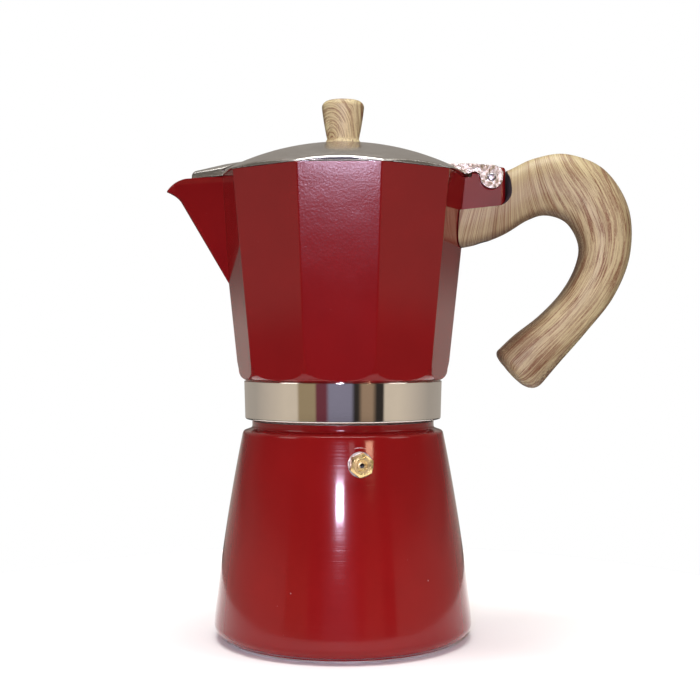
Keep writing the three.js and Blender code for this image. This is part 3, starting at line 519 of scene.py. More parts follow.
def wood_material(name, fineness, streaky, gain):
    """Printed wood grain and painted shade. The "grain" attribute: lengths across and along it, and painted
    shade near edges.
    """
    material, tree, shader = new_material(name, (0.50, 0.36, 0.21), 0.5)
    grain = node(tree, "ShaderNodeAttribute", attribute_name="grain").outputs["Vector"]
    parts = node(tree, "ShaderNodeSeparateXYZ")
    tree.links.new(grain, parts.inputs[0])

    def fibre(across, along, offset, detail, rough, distortion):
        stretched = scaled(tree, grain, (across * fineness, along * fineness, 0.0),
            (offset, offset * 0.7, 0.0))
        return noise(tree, stretched, 1.0, detail, rough, distortion)

    broad = fibre(0.16, 0.016, 0.0, 3.0, 0.5, 0.5)
    streaks = fibre(0.62, 0.022, 5.0, 6.0, 0.62, 0.35)
    hairs = fibre(1.9, 0.05, 11.0, 5.0, 0.7, 0.2)
    dashes = fibre(2.6, 0.42, 3.0, 3.0, 0.6, 0.0)
    pale, tan = (0.600, 0.530, 0.285), (0.450, 0.375, 0.185)
    brown, dark = (0.200, 0.075, 0.032), (0.090, 0.036, 0.018)
    pale, tan = shades(pale, gain)[0], shades(tan, gain)[0]
    base = ramp(tree, broad, [(0.36, tan), (0.50, pale), (0.64, shades(pale, 0.9)[0])])
    crowd = ramp(tree, broad, [(0.38, streaky), (0.60, 0.55 * streaky)])
    streak = ramp(tree, streaks, [(0.38, 1.0), (0.46, 0.8), (0.515, 0.0)])
    broken = ramp(tree, dashes, [(0.36, 0.35), (0.52, 1.0)])
    mask = math_node(tree, "MULTIPLY", math_node(tree, "MULTIPLY", streak, crowd), broken)
    base = mix_colour(tree, mask, base, brown)
    hair = math_node(tree, "MULTIPLY", ramp(tree, hairs, [(0.38, 1.0), (0.47, 0.0)]), broken)
    base = mix_colour(tree, math_node(tree, "MULTIPLY", hair, 0.85), base, (0.15, 0.060, 0.030))
    # Painted shade: the third part of the grain attribute darkens the print towards dark brown, broken up by
    # the dashes.
    rim = ramp(tree, dashes, [(0.40, 1.0), (0.58, 0.45)])
    shadow = math_node(tree, "MULTIPLY", parts.outputs["Z"], rim)
    base = mix_colour(tree, math_node(tree, "MINIMUM", shadow, 0.9), base, dark)
    tree.links.new(base, shader.inputs["Base Color"])
    tree.links.new(ramp(tree, streaks, [(0.35, 0.56), (0.6, 0.44)]), shader.inputs["Roughness"])
    shader.inputs["Specular IOR Level"].default_value = 0.35
    bump(tree, shader, sum_of(tree, (streaks, 1.0), (hairs, 0.6)), 0.00005, 0.6, edge=0.0005)
    return material


RED_BOILER = enamel_material("red_enamel_boiler", (0.206, 0.0066, 0.0066), 0.04, 0.34, 0.085)
RED_JUG = enamel_material("red_enamel_jug", (0.203, 0.0072, 0.0078), 0.34, 0.0, 0.05)
BAND = metal_material("polished_band", (0.80, 0.765, 0.71), 0.05, (40.0, 40.0, 2600.0), 0.0000022, stain=0.95)
SATIN = metal_material("satin_lid", (0.66, 0.645, 0.62), 0.19, (300.0, 300.0, 1500.0), 0.000012, stain=0.94)
BARE = metal_material("bare_aluminium", (0.72, 0.71, 0.69), 0.34, (80.0, 80.0, 2500.0), 0.00003)
PRESSED = metal_material("pressed_aluminium", (0.72, 0.72, 0.71), 0.32, (220.0, 220.0, 1600.0), 0.00003)
CAST = cast_material("cast_hinge", (0.31, 0.29, 0.22))
BRASS = small_metal_material("turned_brass", (0.95, 0.73, 0.34), 0.22, 0.38)
STEEL = small_metal_material("plated_steel", (0.60, 0.60, 0.62), 0.20, 0.34)
RUBBER = dull_material("seal_rubber", (0.70, 0.67, 0.60), 0.55, 0.00004)
CORE = dull_material("dark_core_plastic", (0.036, 0.043, 0.052), 0.42, 0.00004)
WOOD_HANDLE = wood_material("wood_print_handle", 2.1, 1.0, 1.0)
WOOD_KNOB = wood_material("wood_print_knob", 3.2, 1.0, 1.18)

# ---- levels of the stack above the boiler

FLANGE_Z = BOILER.height + STACK_GAP
FLANGE_TOP = FLANGE_Z + FUNNEL.thickness
GASKET_Z = FLANGE_TOP + STACK_GAP
PLATE_Z = GASKET_Z + GASKET.thickness + STACK_GAP
SEAT_Z = PLATE_Z + PLATE.thickness + STACK_GAP
FEMALE_CREST = BOILER.neck + THREAD.clearance

# ---- boiler


def thread_ridge(name, root, crest, start, material):
    """A helical ridge that fades in and out over an eighth of a turn."""
    sides = THREAD_SIDES
    sunk = THREAD_SUNK if root > crest else -THREAD_SUNK
    steps = round(THREAD.turns * sides)
    rings = []
    for i in range(steps + 1):
        angle = 2 * math.pi * i / sides
        z = start + THREAD.lead * i / sides
        rise = min(1.0, (i + 1) / (sides / 8), (steps - i + 1) / (sides / 8))
        top = root + (crest - root) * rise
        shape = [(root + sunk, -THREAD.root_width / 2), (top, -THREAD.crest_width / 2),
            (top, THREAD.crest_width / 2), (root + sunk, THREAD.root_width / 2)]
        rings.append([(r * math.cos(angle), r * math.sin(angle), z + dz) for r, dz in shape])
    return loft(name, rings, material)


def flank(inset, steps):
    low = (BOILER.radius - inset, BOILER.radius_z)
    high = (BOILER.shoulder - inset, BOILER.shoulder_z)
    middle = ((low[0] + high[0]) / 2 + BOILER.bulge, (low[1] + high[1]) / 2)
    return bezier(low, middle, high, steps)


def valve_place(obj):
    """Turns a piece built along +Z from the pot's axis to the safety valve's place."""
    turn = Vector((0, 0, 1)).rotation_difference(valve_direction()).to_matrix()
    return place(obj, turn, (0, 0, VALVE.height))


def valve_direction():
    bearing = math.radians(VALVE.bearing)
    return Vector((math.cos(bearing), math.sin(bearing), 0))


def make_boiler():
    b = BOILER
    root = b.neck - THREAD.depth
    corner = [(b.foot + 1.0, b.foot_height)]
    corner += arc((b.radius - 4.3, b.radius_z - 0.6), 4.3, -72, 0, 10)
    outside = [(0, 0.0), (b.foot - 0.4, 0.0), (b.foot, 0.35), (b.foot, b.foot_height)]
    outside += corner + flank(0, 40)[1:]
    outside += arc((b.shoulder - 1.5, b.shoulder_z - 0.1), 1.45, 12, 62, 7)
    outside += arc((b.neck + 1.3, b.neck_z + 0.35), 1.3, -118, -180, 6)
    outside += [(b.neck, THREAD.start - THREAD.root_width)]
    outside += [(root, THREAD.start - THREAD.root_width + THREAD.depth), (root, b.height - 0.3)]
    outside += [(root - 0.3, b.height)]
    inside = [(b.neck_bore + 0.3, b.height), (b.neck_bore, b.height - 0.3), (b.neck_bore, b.neck_z)]
    inside += flank(b.wall, 20)[::-1]
    inside += arc((b.radius - b.wall - 3.6, b.floor + 3.4), 3.4, -10, -90, 6) + [(0, b.floor)]
    body = turned("boiler_shell", outside + inside, RED_BOILER)
    body.data.materials.append(BARE)
    for face in body.data.polygons:
        z = face.center.z / MM
        radius = Vector((face.center.x, face.center.y)).length / MM
        normal_out = face.normal.x * face.center.x + face.normal.y * face.center.y > 0
        beyond_flank = z > b.shoulder_z or z < 4
        painted = 0.9 < z < b.painted_to and radius > b.neck - 0.4 and (normal_out or beyond_flank)
        if radius < b.foot - 0.2 and z < 3:
            painted = False
        face.material_index = 0 if painted else 1
    boss = rod("boss", VALVE.boss, VALVE.seat - VALVE.boss_depth, VALVE.seat, BARE)
    join(body, valve_place(boss))
    spot = rod("spot", VALVE.spot, VALVE.seat, VALVE.seat + 8, BARE, 64)
    hole = rod("hole", VALVE.stem + VALVE.fit, VALVE.seat - 8, VALVE.seat + 1, BARE)
    cut(body, valve_place(spot), valve_place(hole))
    ridge = thread_ridge("ridge", root, b.neck, THREAD.start, BARE)
    merge_shells(body, ridge)
    shade(body)
    return piece(body, "base", "red_enamel_boiler", "boiler")


# ---- safety valve


def hex_back():
    return VALVE.seat + VALVE.washer_thickness + 2 * STACK_GAP


def make_valve():
    v = VALVE
    back = hex_back()
    front = back + v.hex_length
    inner = v.seat - v.stem_length
    corner = v.flats / math.sqrt(3)
    ring = [(corner * math.cos(math.radians(60 * k + 32)), corner * math.sin(math.radians(60 * k
        + 32))) for k in range(6)]
    body = loft("valve", [[(x, y, z) for x, y in ring] for z in (back, front)], BRASS)
    flat = v.flats / 2
    chamfer = turned("chamfer", [(0, back - 1), (corner - 1.5, back - 1), (corner + 0.1, back + 0.45),
        (corner + 0.1, front - 0.75), (flat - 1.0, front + 0.25), (0, front + 0.25)], BRASS, 64)
    common(body, chamfer)
    stem = rod("stem", v.stem, inner, back + 0.5, BRASS)
    join(body, stem)
    plug_front = inner + v.plug_length
    chamber_front = front - v.vent_length
    bore = turned("bore", [(0, inner - 1), (v.plug + v.fit, inner - 1),
        (v.plug + v.fit, plug_front + STACK_GAP), (v.chamber, plug_front + STACK_GAP),
        (v.chamber, chamber_front), (v.vent, chamber_front), (v.vent, front - v.ring_depth + 0.05),
        (v.vent + 0.15, front - v.ring_depth), (v.ring - 0.15, front - v.ring_depth),
        (v.ring, front - v.ring_depth + 0.15), (v.ring + 0.12, front - 0.15), (v.ring + 0.4, front + 1),
        (0, front + 1)], BRASS, 48)
    cut(body, bore)
    groove = turned("groove", [(2.75, front - 0.16), (3.05, front - 0.16), (3.15, front + 1),
        (2.65, front + 1)], BRASS, 64, True)
    cut(body, groove)
    valve_place(shade(body, 25))
    piece(body, "base", "valve_brass", "valve_body")
    bottom = v.seat + STACK_GAP
    top = bottom + v.washer_thickness
    hole = v.stem + v.fit
    washer = turned("valve_ring", [(hole, bottom), (v.washer - 0.2, bottom), (v.washer, bottom + 0.2),
        (v.washer, top - 0.2), (v.washer - 0.2, top), (hole, top)], PRESSED, 64, True)
    valve_place(shade(washer, 50))
    piece(washer, "base", "filter_aluminium", "valve_washer")
    plug = turned("valve_seat_plug", [(v.plug_bore, inner), (v.plug - 0.2, inner), (v.plug, inner + 0.2),
        (v.plug, plug_front), (v.plug_bore + 0.15, plug_front), (v.plug_bore, plug_front - 0.1)], BRASS,
        40, True)
    valve_place(shade(plug, 50))
    piece(plug, "base", "valve_brass", "valve_plug")


# ---- funnel, sieve, gasket and filter plate

BASKET_Z = FLANGE_Z - FUNNEL.depth
BASKET_LOW = FUNNEL.basket - FUNNEL.taper


def make_funnel():
    f = FUNNEL
    stem_end = BOILER.floor + f.end
    stem_top = BASKET_Z - f.cone
    ledge = BASKET_LOW - f.wall - f.ledge
    body = turned("funnel_pressing", [(f.stem - f.stem_taper, stem_end),
        (f.stem - f.stem_taper + 0.05, stem_end + 0.4), (f.stem, stem_top - 1.5),
        (f.stem + 0.25, stem_top - 0.3), (f.stem + 1.2, stem_top + 0.55),
        (BASKET_LOW - 2.6, BASKET_Z - 2.1), (BASKET_LOW - 1.4, BASKET_Z - 1.6),
        (BASKET_LOW - 0.5, BASKET_Z - 0.8), (BASKET_LOW, BASKET_Z + 0.1),
        (f.basket - 0.02, FLANGE_Z - 0.7), (f.basket + 0.2, FLANGE_Z - 0.2), (f.basket + 0.7, FLANGE_Z),
        (f.flange - 0.3, FLANGE_Z), (f.flange, FLANGE_Z + 0.3), (f.flange, FLANGE_TOP - 0.3),
        (f.flange - 0.3, FLANGE_TOP), (f.basket - f.wall + 0.5, FLANGE_TOP),
        (f.basket - f.wall, FLANGE_TOP - 0.5), (BASKET_LOW - f.wall, BASKET_Z + 1.2),
        (ledge, BASKET_Z + 1.2), (ledge - 0.4, BASKET_Z - 0.2), (f.bore + 0.8, stem_top + 1.1),
        (f.bore, stem_top + 0.3), (f.bore, stem_top - 2), (f.bore - f.stem_taper, stem_end)], PRESSED,
        closed=True)
    shade(body)
    piece(body, "funnel_body", "filter_aluminium", "funnel")


def perforated_disc(name, radius, z0, z1, pitch, hole, inner_rim):
    """A thin disc with round holes on a triangular grid, built as a grid of hexagon cells round each hole."""
    sides = 12
    points = []
    faces = []
    ring_of = {}

    def add(x, y, z):
        key = (round(x, 4), round(y, 4), z)
        if key not in ring_of:
            ring_of[key] = len(points)
            points.append((x, y, z))
        return ring_of[key]

    reach = int(radius / pitch) + 2
    cells = []
    for q in range(-reach, reach + 1):
        for r in range(-reach, reach + 1):
            x = pitch * (q + r / 2)
            y = pitch * r * math.sqrt(3) / 2
            if math.hypot(x, y) + pitch * 0.6 < inner_rim:
                cells.append((x, y))
    apothem = pitch / 2
    for x, y in cells:
        hexagon = []
        circle = []
        for k in range(sides):
            angle = math.radians(30 * k)
            fold = (angle + math.pi / 6) % (math.pi / 3) - math.pi / 6
            edge = apothem / math.cos(fold)
            hexagon.append((x + edge * math.cos(angle), y + edge * math.sin(angle)))
            circle.append((x + hole * math.cos(angle), y + hole * math.sin(angle)))
        for k in range(sides):
            j = (k + 1) % sides
            for z in (z0, z1):
                faces.append([add(*circle[k], z), add(*hexagon[k], z), add(*hexagon[j], z),
                    add(*circle[j], z)])
            faces.append([add(*circle[k], z0), add(*circle[j], z0), add(*circle[j], z1), add(*circle[k], z1)])
    work = bmesh.new()
    verts = [work.verts.new(Vector(p) * MM) for p in points]
    for face in faces:
        work.faces.new([verts[i] for i in face])
    border = [e for e in work.edges if len(e.link_faces) == 1]
    rims = {}
    for z in (z0, z1):
        loop = [e for e in border if all(abs(v.co.z - z * MM) < 1e-7 for v in e.verts)]
        count = 96
        rim = []
        for i in range(count):
            angle = 2 * math.pi * i / count
            rim.append(work.verts.new(Vector((radius * math.cos(angle), radius * math.sin(angle), z)) * MM))
        outer = [work.edges.new((rim[i], rim[(i + 1) % count])) for i in range(count)]
        bmesh.ops.triangle_fill(work, use_beauty=True, edges=loop + outer)
        rims[z] = rim
    for i in range(len(rims[z0])):
        j = (i + 1) % len(rims[z0])
        work.faces.new((rims[z0][i], rims[z0][j], rims[z1][j], rims[z1][i]))
    bmesh.ops.recalc_face_normals(work, faces=work.faces)
    mesh = bpy.data.meshes.new(name)
    work.to_mesh(mesh)
    work.free()
    mesh.materials.append(PRESSED)
    return shade(add_object(name, mesh), 40)


def make_filters():
    sieve_z = BASKET_Z + 1.2 + STACK_GAP
    radius = BASKET_LOW - FUNNEL.wall - 0.25
    sieve = perforated_disc("funnel_screen", radius, sieve_z, sieve_z + 0.6, HOLE_PITCH, 0.65, radius - 2.5)
    piece(sieve, "funnel_body", "filter_aluminium", "funnel_sieve")
    plate = perforated_disc("filter_screen", PLATE.radius, PLATE_Z, PLATE_Z + PLATE.thickness, HOLE_PITCH,
        0.6, 24.5)
    piece(plate, "plate_body", "filter_aluminium", "filter_plate")
    g = GASKET
    top = GASKET_Z + g.thickness
    seal = turned("seal_ring", [(g.inner, GASKET_Z + 0.25), (g.inner + 0.25, GASKET_Z),
        (g.outer - 0.6, GASKET_Z), (g.outer - 0.18, GASKET_Z + 0.18), (g.outer, GASKET_Z + 0.6),
        (g.outer, top - 0.6), (g.outer - 0.18, top - 0.18), (g.outer - 0.6, top), (g.inner + 0.25, top),
        (g.inner, top - 0.25)], RUBBER, closed=True)
    shade(seal, 50)
    piece(seal, "gasket_body", "seal_rubber", "gasket")


# ---- jug


def corner_radius(z):
    return JUG.rim - JUG.taper * (JUG.rim_z - z)


def decagon_ring(corner, z, fillet, flat_steps=3, arc_steps=6):
    """A level ten-sided ring with a corner on +X and rounded corners."""
    half = math.pi / JUG.sides
    apothem = corner * math.cos(half)
    centre = (apothem - fillet) / math.cos(half)
    reach = (apothem - fillet) * math.tan(half)
    ring = []
    for k in range(JUG.sides):
        bearing = 2 * half * k
        for i in range(arc_steps + 1):
            turn = bearing - half + 2 * half * i / arc_steps
            ring.append((centre * math.cos(bearing) + fillet * math.cos(turn),
                centre * math.sin(bearing) + fillet * math.sin(turn), z))
        face = bearing + half
        for i in range(1, flat_steps):
            along = -reach + 2 * reach * i / flat_steps
            ring.append((apothem * math.cos(face) - along * math.sin(face),
                apothem * math.sin(face) + along * math.cos(face), z))
    return ring


def ten_sided(name, inset, z0, z1, material, fillet, rows=2):
    half = math.pi / JUG.sides
    levels = [z0 + (z1 - z0) * i / (rows - 1) for i in range(rows)]
    rings = [decagon_ring(corner_radius(z) - inset / math.cos(half), z, fillet) for z in levels]
    return loft(name, rings, material)


def spout_root(z):
    low = SPOUT.keel_bottom[1]
    return SPOUT.root * (z - low) / (JUG.rim_z - low)


def spout_front(steps=12):
    """The spout's foremost (x, z) points: a straight keel, then a lip that curls to the tip and back."""
    low, high, tip = SPOUT.keel_bottom, SPOUT.keel_top, SPOUT.tip
    under = bezier(high, (high[0] - 1.4, tip[1] - 2.3), (tip[0], tip[1] - 0.4), steps)
    over = bezier((tip[0], tip[1] + 0.1), (tip[0] + 2.6, JUG.rim_z - 0.6), (SPOUT.lip_back, JUG.rim_z), steps)
    keel = [(low[0] + 1, low[1] - 1.7)]
    for i in range(1, 8):
        keel.append((low[0] + (high[0] - low[0]) * i / 8, low[1] + (high[1] - low[1]) * i / 8))
    return keel + under + over


def front_at(z):
    points = spout_front()
    for (x0, z0), (x1, z1) in zip(points, points[1:]):
        if z0 <= z <= z1:
            return x0 + (x1 - x0) * (z - z0) / (z1 - z0)
    return points[-1][0]


def spout_ring(front, z, inset, knee=None):
    """A level ring of the spout: each side runs straight from the wall to a round nose."""
    low, high = SPOUT.keel_bottom, SPOUT.keel_top
    root = max(0.4, spout_root(z) - inset)
    reach = min(1.0, (z - low[1]) / 12)
    nose = max(0.3, min(SPOUT.nose * max(reach, 0.2), root) - inset * 0.65)
    wall_x = max(-(corner_radius(z) - math.tan(math.pi / JUG.sides) * root), front)
    line_x = high[0] + (high[0] - low[0]) / (high[1] - low[1]) * (z - high[1])
    bend_x = max(line_x + nose * 0.5, front + nose * 0.5) if knee is None else max(knee, front + nose * 0.5)
    wide = nose
    if knee is None and front > line_x:
        wide = nose + (root - nose) * min(1.0, (front - line_x) / max(0.1, wall_x - line_x)) * 0.8
    tips = []
    for i in range(9):
        angle = math.radians(-60 + 15 * i)
        tips.append((front + nose * (1 - math.cos(angle)), wide * math.sin(angle), z))
    low_side = [(-40, -root, z), (wall_x, -root, z), (bend_x, -wide * 0.95, z)]
    high_side = [(x, -y, z) for x, y, _ in reversed(low_side)]
    return low_side + tips + high_side


def spout_outside(material):
    return loft("spout", [spout_ring(x, z, 0) for x, z in spout_front()], material)


def spout_channel(material):
    low, high, tip, wall = SPOUT.keel_bottom, SPOUT.keel_top, SPOUT.tip, SPOUT.wall
    levels = [(low[0] + 3.2, low[1] + 3), (high[0] + wall * 1.3, high[1]), (tip[0] + 3.4, tip[1] - 0.6),
        (tip[0] + 1.6, tip[1] + 0.5), (tip[0] + 1.1, tip[1] + 1.3), (tip[0] - 2, tip[1] + 3.0),
        (tip[0] - 2, JUG.rim_z - 0.5), (tip[0] - 2, JUG.rim_z + 3)]
    rings = []
    for x, z in levels:
        rings.append(spout_ring(x, z, wall, front_at(min(z, JUG.rim_z)) + 2.2))
    return loft("channel", rings, material)


def hinge_boss(material):
    h = HINGE
    inside = corner_radius(h.boss_bottom) - JUG.wall
    rise = math.degrees(math.asin((h.boss_top - h.z) / h.sweep))
    outline = [(inside, h.boss_bottom), (h.boss_end, h.boss_bottom), (h.boss_end, h.boss_top - 1.5)]
    outline += arc((h.boss_end - 1.5, h.boss_top - 1.5), 1.5, 0, 90, 6)[1:]
    outline += arc((h.x, h.z), h.sweep, 180 - rise, 176, 10)
    outline += [(inside, JUG.rim_z - 0.4)]
    body = side_plate("boss", outline, -h.boss, h.boss, material)
    r = 1.9
    plan = [(30.0, -h.boss - 1), (30.0, h.boss + 1)]
    plan += [(h.boss_end - r - 1, h.boss + 1), (h.boss_end - r - 1, h.boss)]
    corner = arc((h.boss_end - r, h.boss - r), r, 90, 0, 8)
    plan += corner + [(x, -y) for x, y in reversed(corner)]
    plan += [(h.boss_end - r - 1, -h.boss), (h.boss_end - r - 1, -h.boss - 1)]
    rounded = loft("rounded", [[(x, y, z) for x, y in plan] for z in (150, 200)], material)
    common(body, rounded)
    return round_edges(body, 0.5, 40.0, 2)


def on_pin_axis(obj):
    """Turns a piece built along +Z onto the hinge pin's axis."""
    turn = Vector((0, 0, 1)).rotation_difference(Vector((0, -1, 0))).to_matrix()
    return place(obj, turn, (HINGE.x, 0, HINGE.z))


def pin_rod(clearance, material, half=20.0):
    return on_pin_axis(rod("pin_hole", HINGE.pin + clearance, -half, half, material))


def skirt_bore(material):
    root = FEMALE_CREST + THREAD.depth
    relief = THREAD.start + THREAD.lead * (THREAD.turns + 0.5) + THREAD.root_width / 2 + 0.3
    recess = SEAT_Z + JUG.cavity_depth
    return turned("bore", [(0, JUG.skirt_z - 1), (root + 0.5, JUG.skirt_z - 1), (root + 0.5, JUG.skirt_z),
        (root, JUG.skirt_z + 0.5), (root, relief), (FEMALE_CREST, relief + THREAD.depth),
        (FEMALE_CREST, SEAT_Z), (JUG.cavity, SEAT_Z), (COLUMN.base_bore + 2, recess), (0, recess)],
        material)


def make_jug():
    j = JUG
    body = ten_sided("jug_casting", 0, j.bottom, j.rim_z, RED_JUG, j.corner, 14)
    envelope = turned("envelope", [(0, j.bottom - 1), (j.skirt, j.bottom - 1)]
        + arc((corner_radius(j.bottom) - j.bottom_round, j.bottom + j.bottom_round), j.bottom_round, -86,
        0, 14) + [(j.rim + 5, j.rim_z - 20), (j.rim + 5, j.rim_z + 1), (0, j.rim_z + 1)], RED_JUG)
    common(body, envelope)
    r = j.skirt_round
    low = j.skirt - j.skirt_taper
    skirt = turned("skirt", [(0, j.skirt_z), (low - r, j.skirt_z)]
        + arc((low - r, j.skirt_z + r), r, -90, 0, 6)[1:] + [(j.skirt, j.bottom - 0.15),
        (j.skirt - 0.15, j.bottom + 0.02), (j.skirt - 2.0, j.bottom + 0.6), (0, j.bottom + 0.6)], BAND)
    join(body, spout_outside(RED_JUG), hinge_boss(RED_JUG))
    join(body, skirt)
    c = COLUMN
    hollow = ten_sided("hollow", j.wall, j.floor, j.rim_z + 3, BARE, 2.4, 2)
    column = turned("column", [(0, j.floor - 1), (c.base + 2.4, j.floor - 1),
        (c.base + 1.9, j.floor + 0.3), (c.base + 0.9, j.floor + 1.2), (c.base, j.floor + 3),
        (c.top, c.height - 2), (c.top - 0.5, c.height - 0.9), (c.top - 1.6, c.height - 0.3),
        (0, c.height)], BARE, 64)
    cut(hollow, column)
    join(hollow, spout_channel(BARE))
    cut(body, hollow)
    cut(body, skirt_bore(BARE))
    top = c.height - c.cap
    way = turned("way", [(0, SEAT_Z), (c.base_bore + 0.5, SEAT_Z), (c.base_bore, j.floor),
        (c.top_bore, top), (0, top)], BARE)
    reach = c.top + 1
    slot = block("slot", (-c.slot / 2, c.slot / 2), (-reach, reach), (top - c.slot_height, top), BARE)
    cut(body, way, slot, pin_rod(0.03, CAST))
    root = FEMALE_CREST + THREAD.depth
    ridge = thread_ridge("ridge", root, FEMALE_CREST, THREAD.start + THREAD.lead / 2, BARE)
    merge_shells(body, ridge)
    shade(body, 24)
    piece(body, "jug_body", "red_enamel_jug", "jug")


# ---- lid, hinge pin and knob

LID_Z = JUG.rim_z + LID.gap
LID_RADIUS = JUG.rim + LID.overhang
ARM_HALF = HINGE.boss + HINGE.gap + HINGE.ear_thickness
BRIDGE_END = HINGE.x - HINGE.sweep - HINGE.bridge_gap


def dome_z(radius, inset=0.0):
    centre = LID.dome_z - math.sqrt(LID.dome_radius ** 2 - LID.land ** 2)
    sphere = LID.dome_radius - inset
    reach = max(radius, 0.0)
    if reach <= LID.land:
        return LID.dome_z - inset
    return min(LID.dome_z - inset, centre + math.sqrt(sphere ** 2 - reach ** 2))


def lid_shell():
    """The ten-sided dome with a rolled edge, hollow underneath and with the knob screw's hole."""
    t = LID.thickness
    rows = []

    def ring(corner, fillet, height):
        return [(x, y, height(math.hypot(x, y))) for x, y, _ in decagon_ring(corner, 0, fillet, 6, 6)]

    def shrunk(share, height):
        base = decagon_ring(LID_RADIUS - 0.5, 0, 1.6, 6, 6)
        return [(x * share, y * share, height(math.hypot(x, y) * share)) for x, y, _ in base]

    hole = LID.hole
    rows.append([(x, y, LID.dome_z) for x, y in circle_like(hole)])
    rows.append([(x, y, LID.dome_z) for x, y in circle_like(LID.land)])
    for share in [0.25 + 0.05 * i for i in range(15)]:
        blend = smoothstep(0.2, 0.75, share)
        base = shrunk(share, dome_z)
        flat = circle_like(share * LID_RADIUS * 0.97)
        row = []
        for (x, y, _), (u, v) in zip(base, flat):
            px, py = x * blend + u * (1 - blend), y * blend + v * (1 - blend)
            row.append((px, py, dome_z(math.hypot(px, py))))
        rows.append(row)
    rows.append(shrunk(0.985, dome_z))
    rows.append(ring(LID_RADIUS - 0.5, 1.6, dome_z))
    rows.append(ring(LID_RADIUS - 0.18, 1.6, lambda r: dome_z(r) - 0.12))
    rows.append(ring(LID_RADIUS, 1.6, lambda r: dome_z(r) - 0.45))
    rows.append(ring(LID_RADIUS - 0.20, 1.6, lambda r: LID_Z + 0.2))
    rows.append(ring(LID_RADIUS - 0.40, 1.6, lambda r: LID_Z))
    rows.append(ring(LID_RADIUS - t, 1.2, lambda r: LID_Z))
    rows.append(ring(LID_RADIUS - t, 1.2, lambda r: dome_z(r, t) - 0.3))
    rows.append(ring(LID_RADIUS - t - 0.4, 1.2, lambda r: dome_z(r, t)))
    for share in (0.8, 0.6, 0.4):
        rows.append(shrunk(share, lambda r: dome_z(r, t)))
    rows.append([(x, y, LID.dome_z - t) for x, y in circle_like(LID.land)])
    rows.append([(x, y, LID.dome_z - t) for x, y in circle_like(hole)])
    count = len(rows[0])
    points = [p for row in rows for p in row]
    faces = []
    for k in range(len(rows)):
        n = (k + 1) % len(rows)
        for i in range(count):
            m = (i + 1) % count
            faces.append((k * count + i, k * count + m, n * count + m, n * count + i))
    return mesh_object("lid_dome", points, faces, SATIN)


def circle_like(radius):
    """Points on a circle at the bearings of the lid's ring."""
    base = decagon_ring(LID_RADIUS, 0, 1.6, 6, 6)
    return [(radius * x / math.hypot(x, y), radius * y / math.hypot(x, y)) for x, y, _ in base]


def hood(inset, material):
    """The pitched hood over the spout, moved in by a wall thickness."""
    root = spout_root(JUG.rim_z) + 1.2 - inset
    end = LID.hood_half - inset
    root_x = -(LID_RADIUS - math.tan(math.pi / JUG.sides) * root)
    tip_x = LID.hood_end + inset
    bottom = LID_Z - 1 if inset else LID_Z + 0.04
    crest = LID.hood_crest

    def section(x, half, eave, ridge):
        eave -= inset
        ridge -= inset
        soft = 0.35
        slope = (ridge - eave) / (half - crest)
        side = [(half, bottom), (half, eave - soft), (half - soft * 0.3, eave - soft * 0.25),
            (half - soft, eave + soft * slope * 0.8), (crest + 0.5, ridge - 0.5 * slope),
            (crest, ridge - 0.12), (crest * 0.4, ridge)]
        return [(x, -y, z) for y, z in side] + [(x, y, z) for y, z in reversed(side)]

    return loft("hood", [section(tip_x, end - 1.1, HOOD_EAVE[0] - 1.5, HOOD_RIDGE[0] - 1.9),
        section(tip_x + 0.12, end - 0.75, HOOD_EAVE[0] - 0.9, HOOD_RIDGE[0] - 1.25),
        section(tip_x + 0.5, end - 0.3, HOOD_EAVE[0] - 0.35, HOOD_RIDGE[0] - 0.55),
        section(tip_x + 1.2, end, HOOD_EAVE[0], HOOD_RIDGE[0]),
        section(root_x, root, HOOD_EAVE[1], HOOD_RIDGE[1]), section(LID.hood_back, root, HOOD_EAVE[2],
        HOOD_RIDGE[2])], material)


def arm_outline():
    h = HINGE
    top = h.z + h.arm_top
    outline = [(ARM_ROOT, h.z + h.arm_bottom)]
    for back, lift in ((4.6, 0.1), (3.4, 0.75), (1.6, 0.7), (0.45, -0.1)):
        outline.append((h.x - h.ear - back, h.z + h.arm_bottom + lift))
    outline += arc((h.x, h.z), h.ear, 180, 360, 20)
    outline += arc((h.x, h.z), h.arm_end_top, 22, 90, 10)
    outline += [(BRIDGE_END + 3, top - 0.2), (BRIDGE_END, top), (ARM_ROOT, top)]
    return outline


def hinge_arms(material):
    inner = HINGE.boss + HINGE.gap
    top = HINGE.z + HINGE.arm_top
    left = side_plate("arm", arm_outline(), -ARM_HALF, -inner, material)
    right = side_plate("arm", arm_outline(), inner, ARM_HALF, material)
    bridge = block("bridge", (ARM_ROOT - 0.5, BRIDGE_END), (-inner - 1, inner + 1),
        (top - 2.2, top - 0.03), material)
    return round_edges(join(left, right, bridge), 0.55, 40.0, 2)


def make_lid():
    t = LID.thickness
    body = lid_shell()
    join(body, hood(0, SATIN))
    cut(body, hood(t, SATIN))
    arms = hinge_arms(CAST)
    under = turned("under", [(0, LID_Z - 10), (LID_RADIUS - 6, LID_Z - 10)]
        + [(r, dome_z(r, t - 0.6)) for r in (LID_RADIUS - 6, 38, 30, 20, 8)]
        + [(0, LID.dome_z - t + 0.6)], CAST)
    cut(arms, under)
    join(body, arms)
    room = side_plate("room", arc((HINGE.x, HINGE.z), HINGE.sweep + 0.3, 0, 345, 23),
        -HINGE.boss - HINGE.gap, HINGE.boss + HINGE.gap, CAST)
    cut(body, room, pin_rod(0.08, CAST))
    shade(body, 30)
    piece(body, "lid_body", "polished_lid", "lid")


def make_pin():
    reach = ARM_HALF + 0.25
    head = HINGE.pin
    body = turned("hinge_rivet", [(0, -reach), (head - 0.5, -reach), (head - 0.1, -reach + 0.12),
        (head, -reach + 0.35), (head, reach - 0.35), (head - 0.1, reach - 0.12), (head - 0.5, reach),
        (0, reach)], STEEL, FINE)
    on_pin_axis(shade(body, 50))
    piece(body, "jug_body", "steel", "hinge_pin")


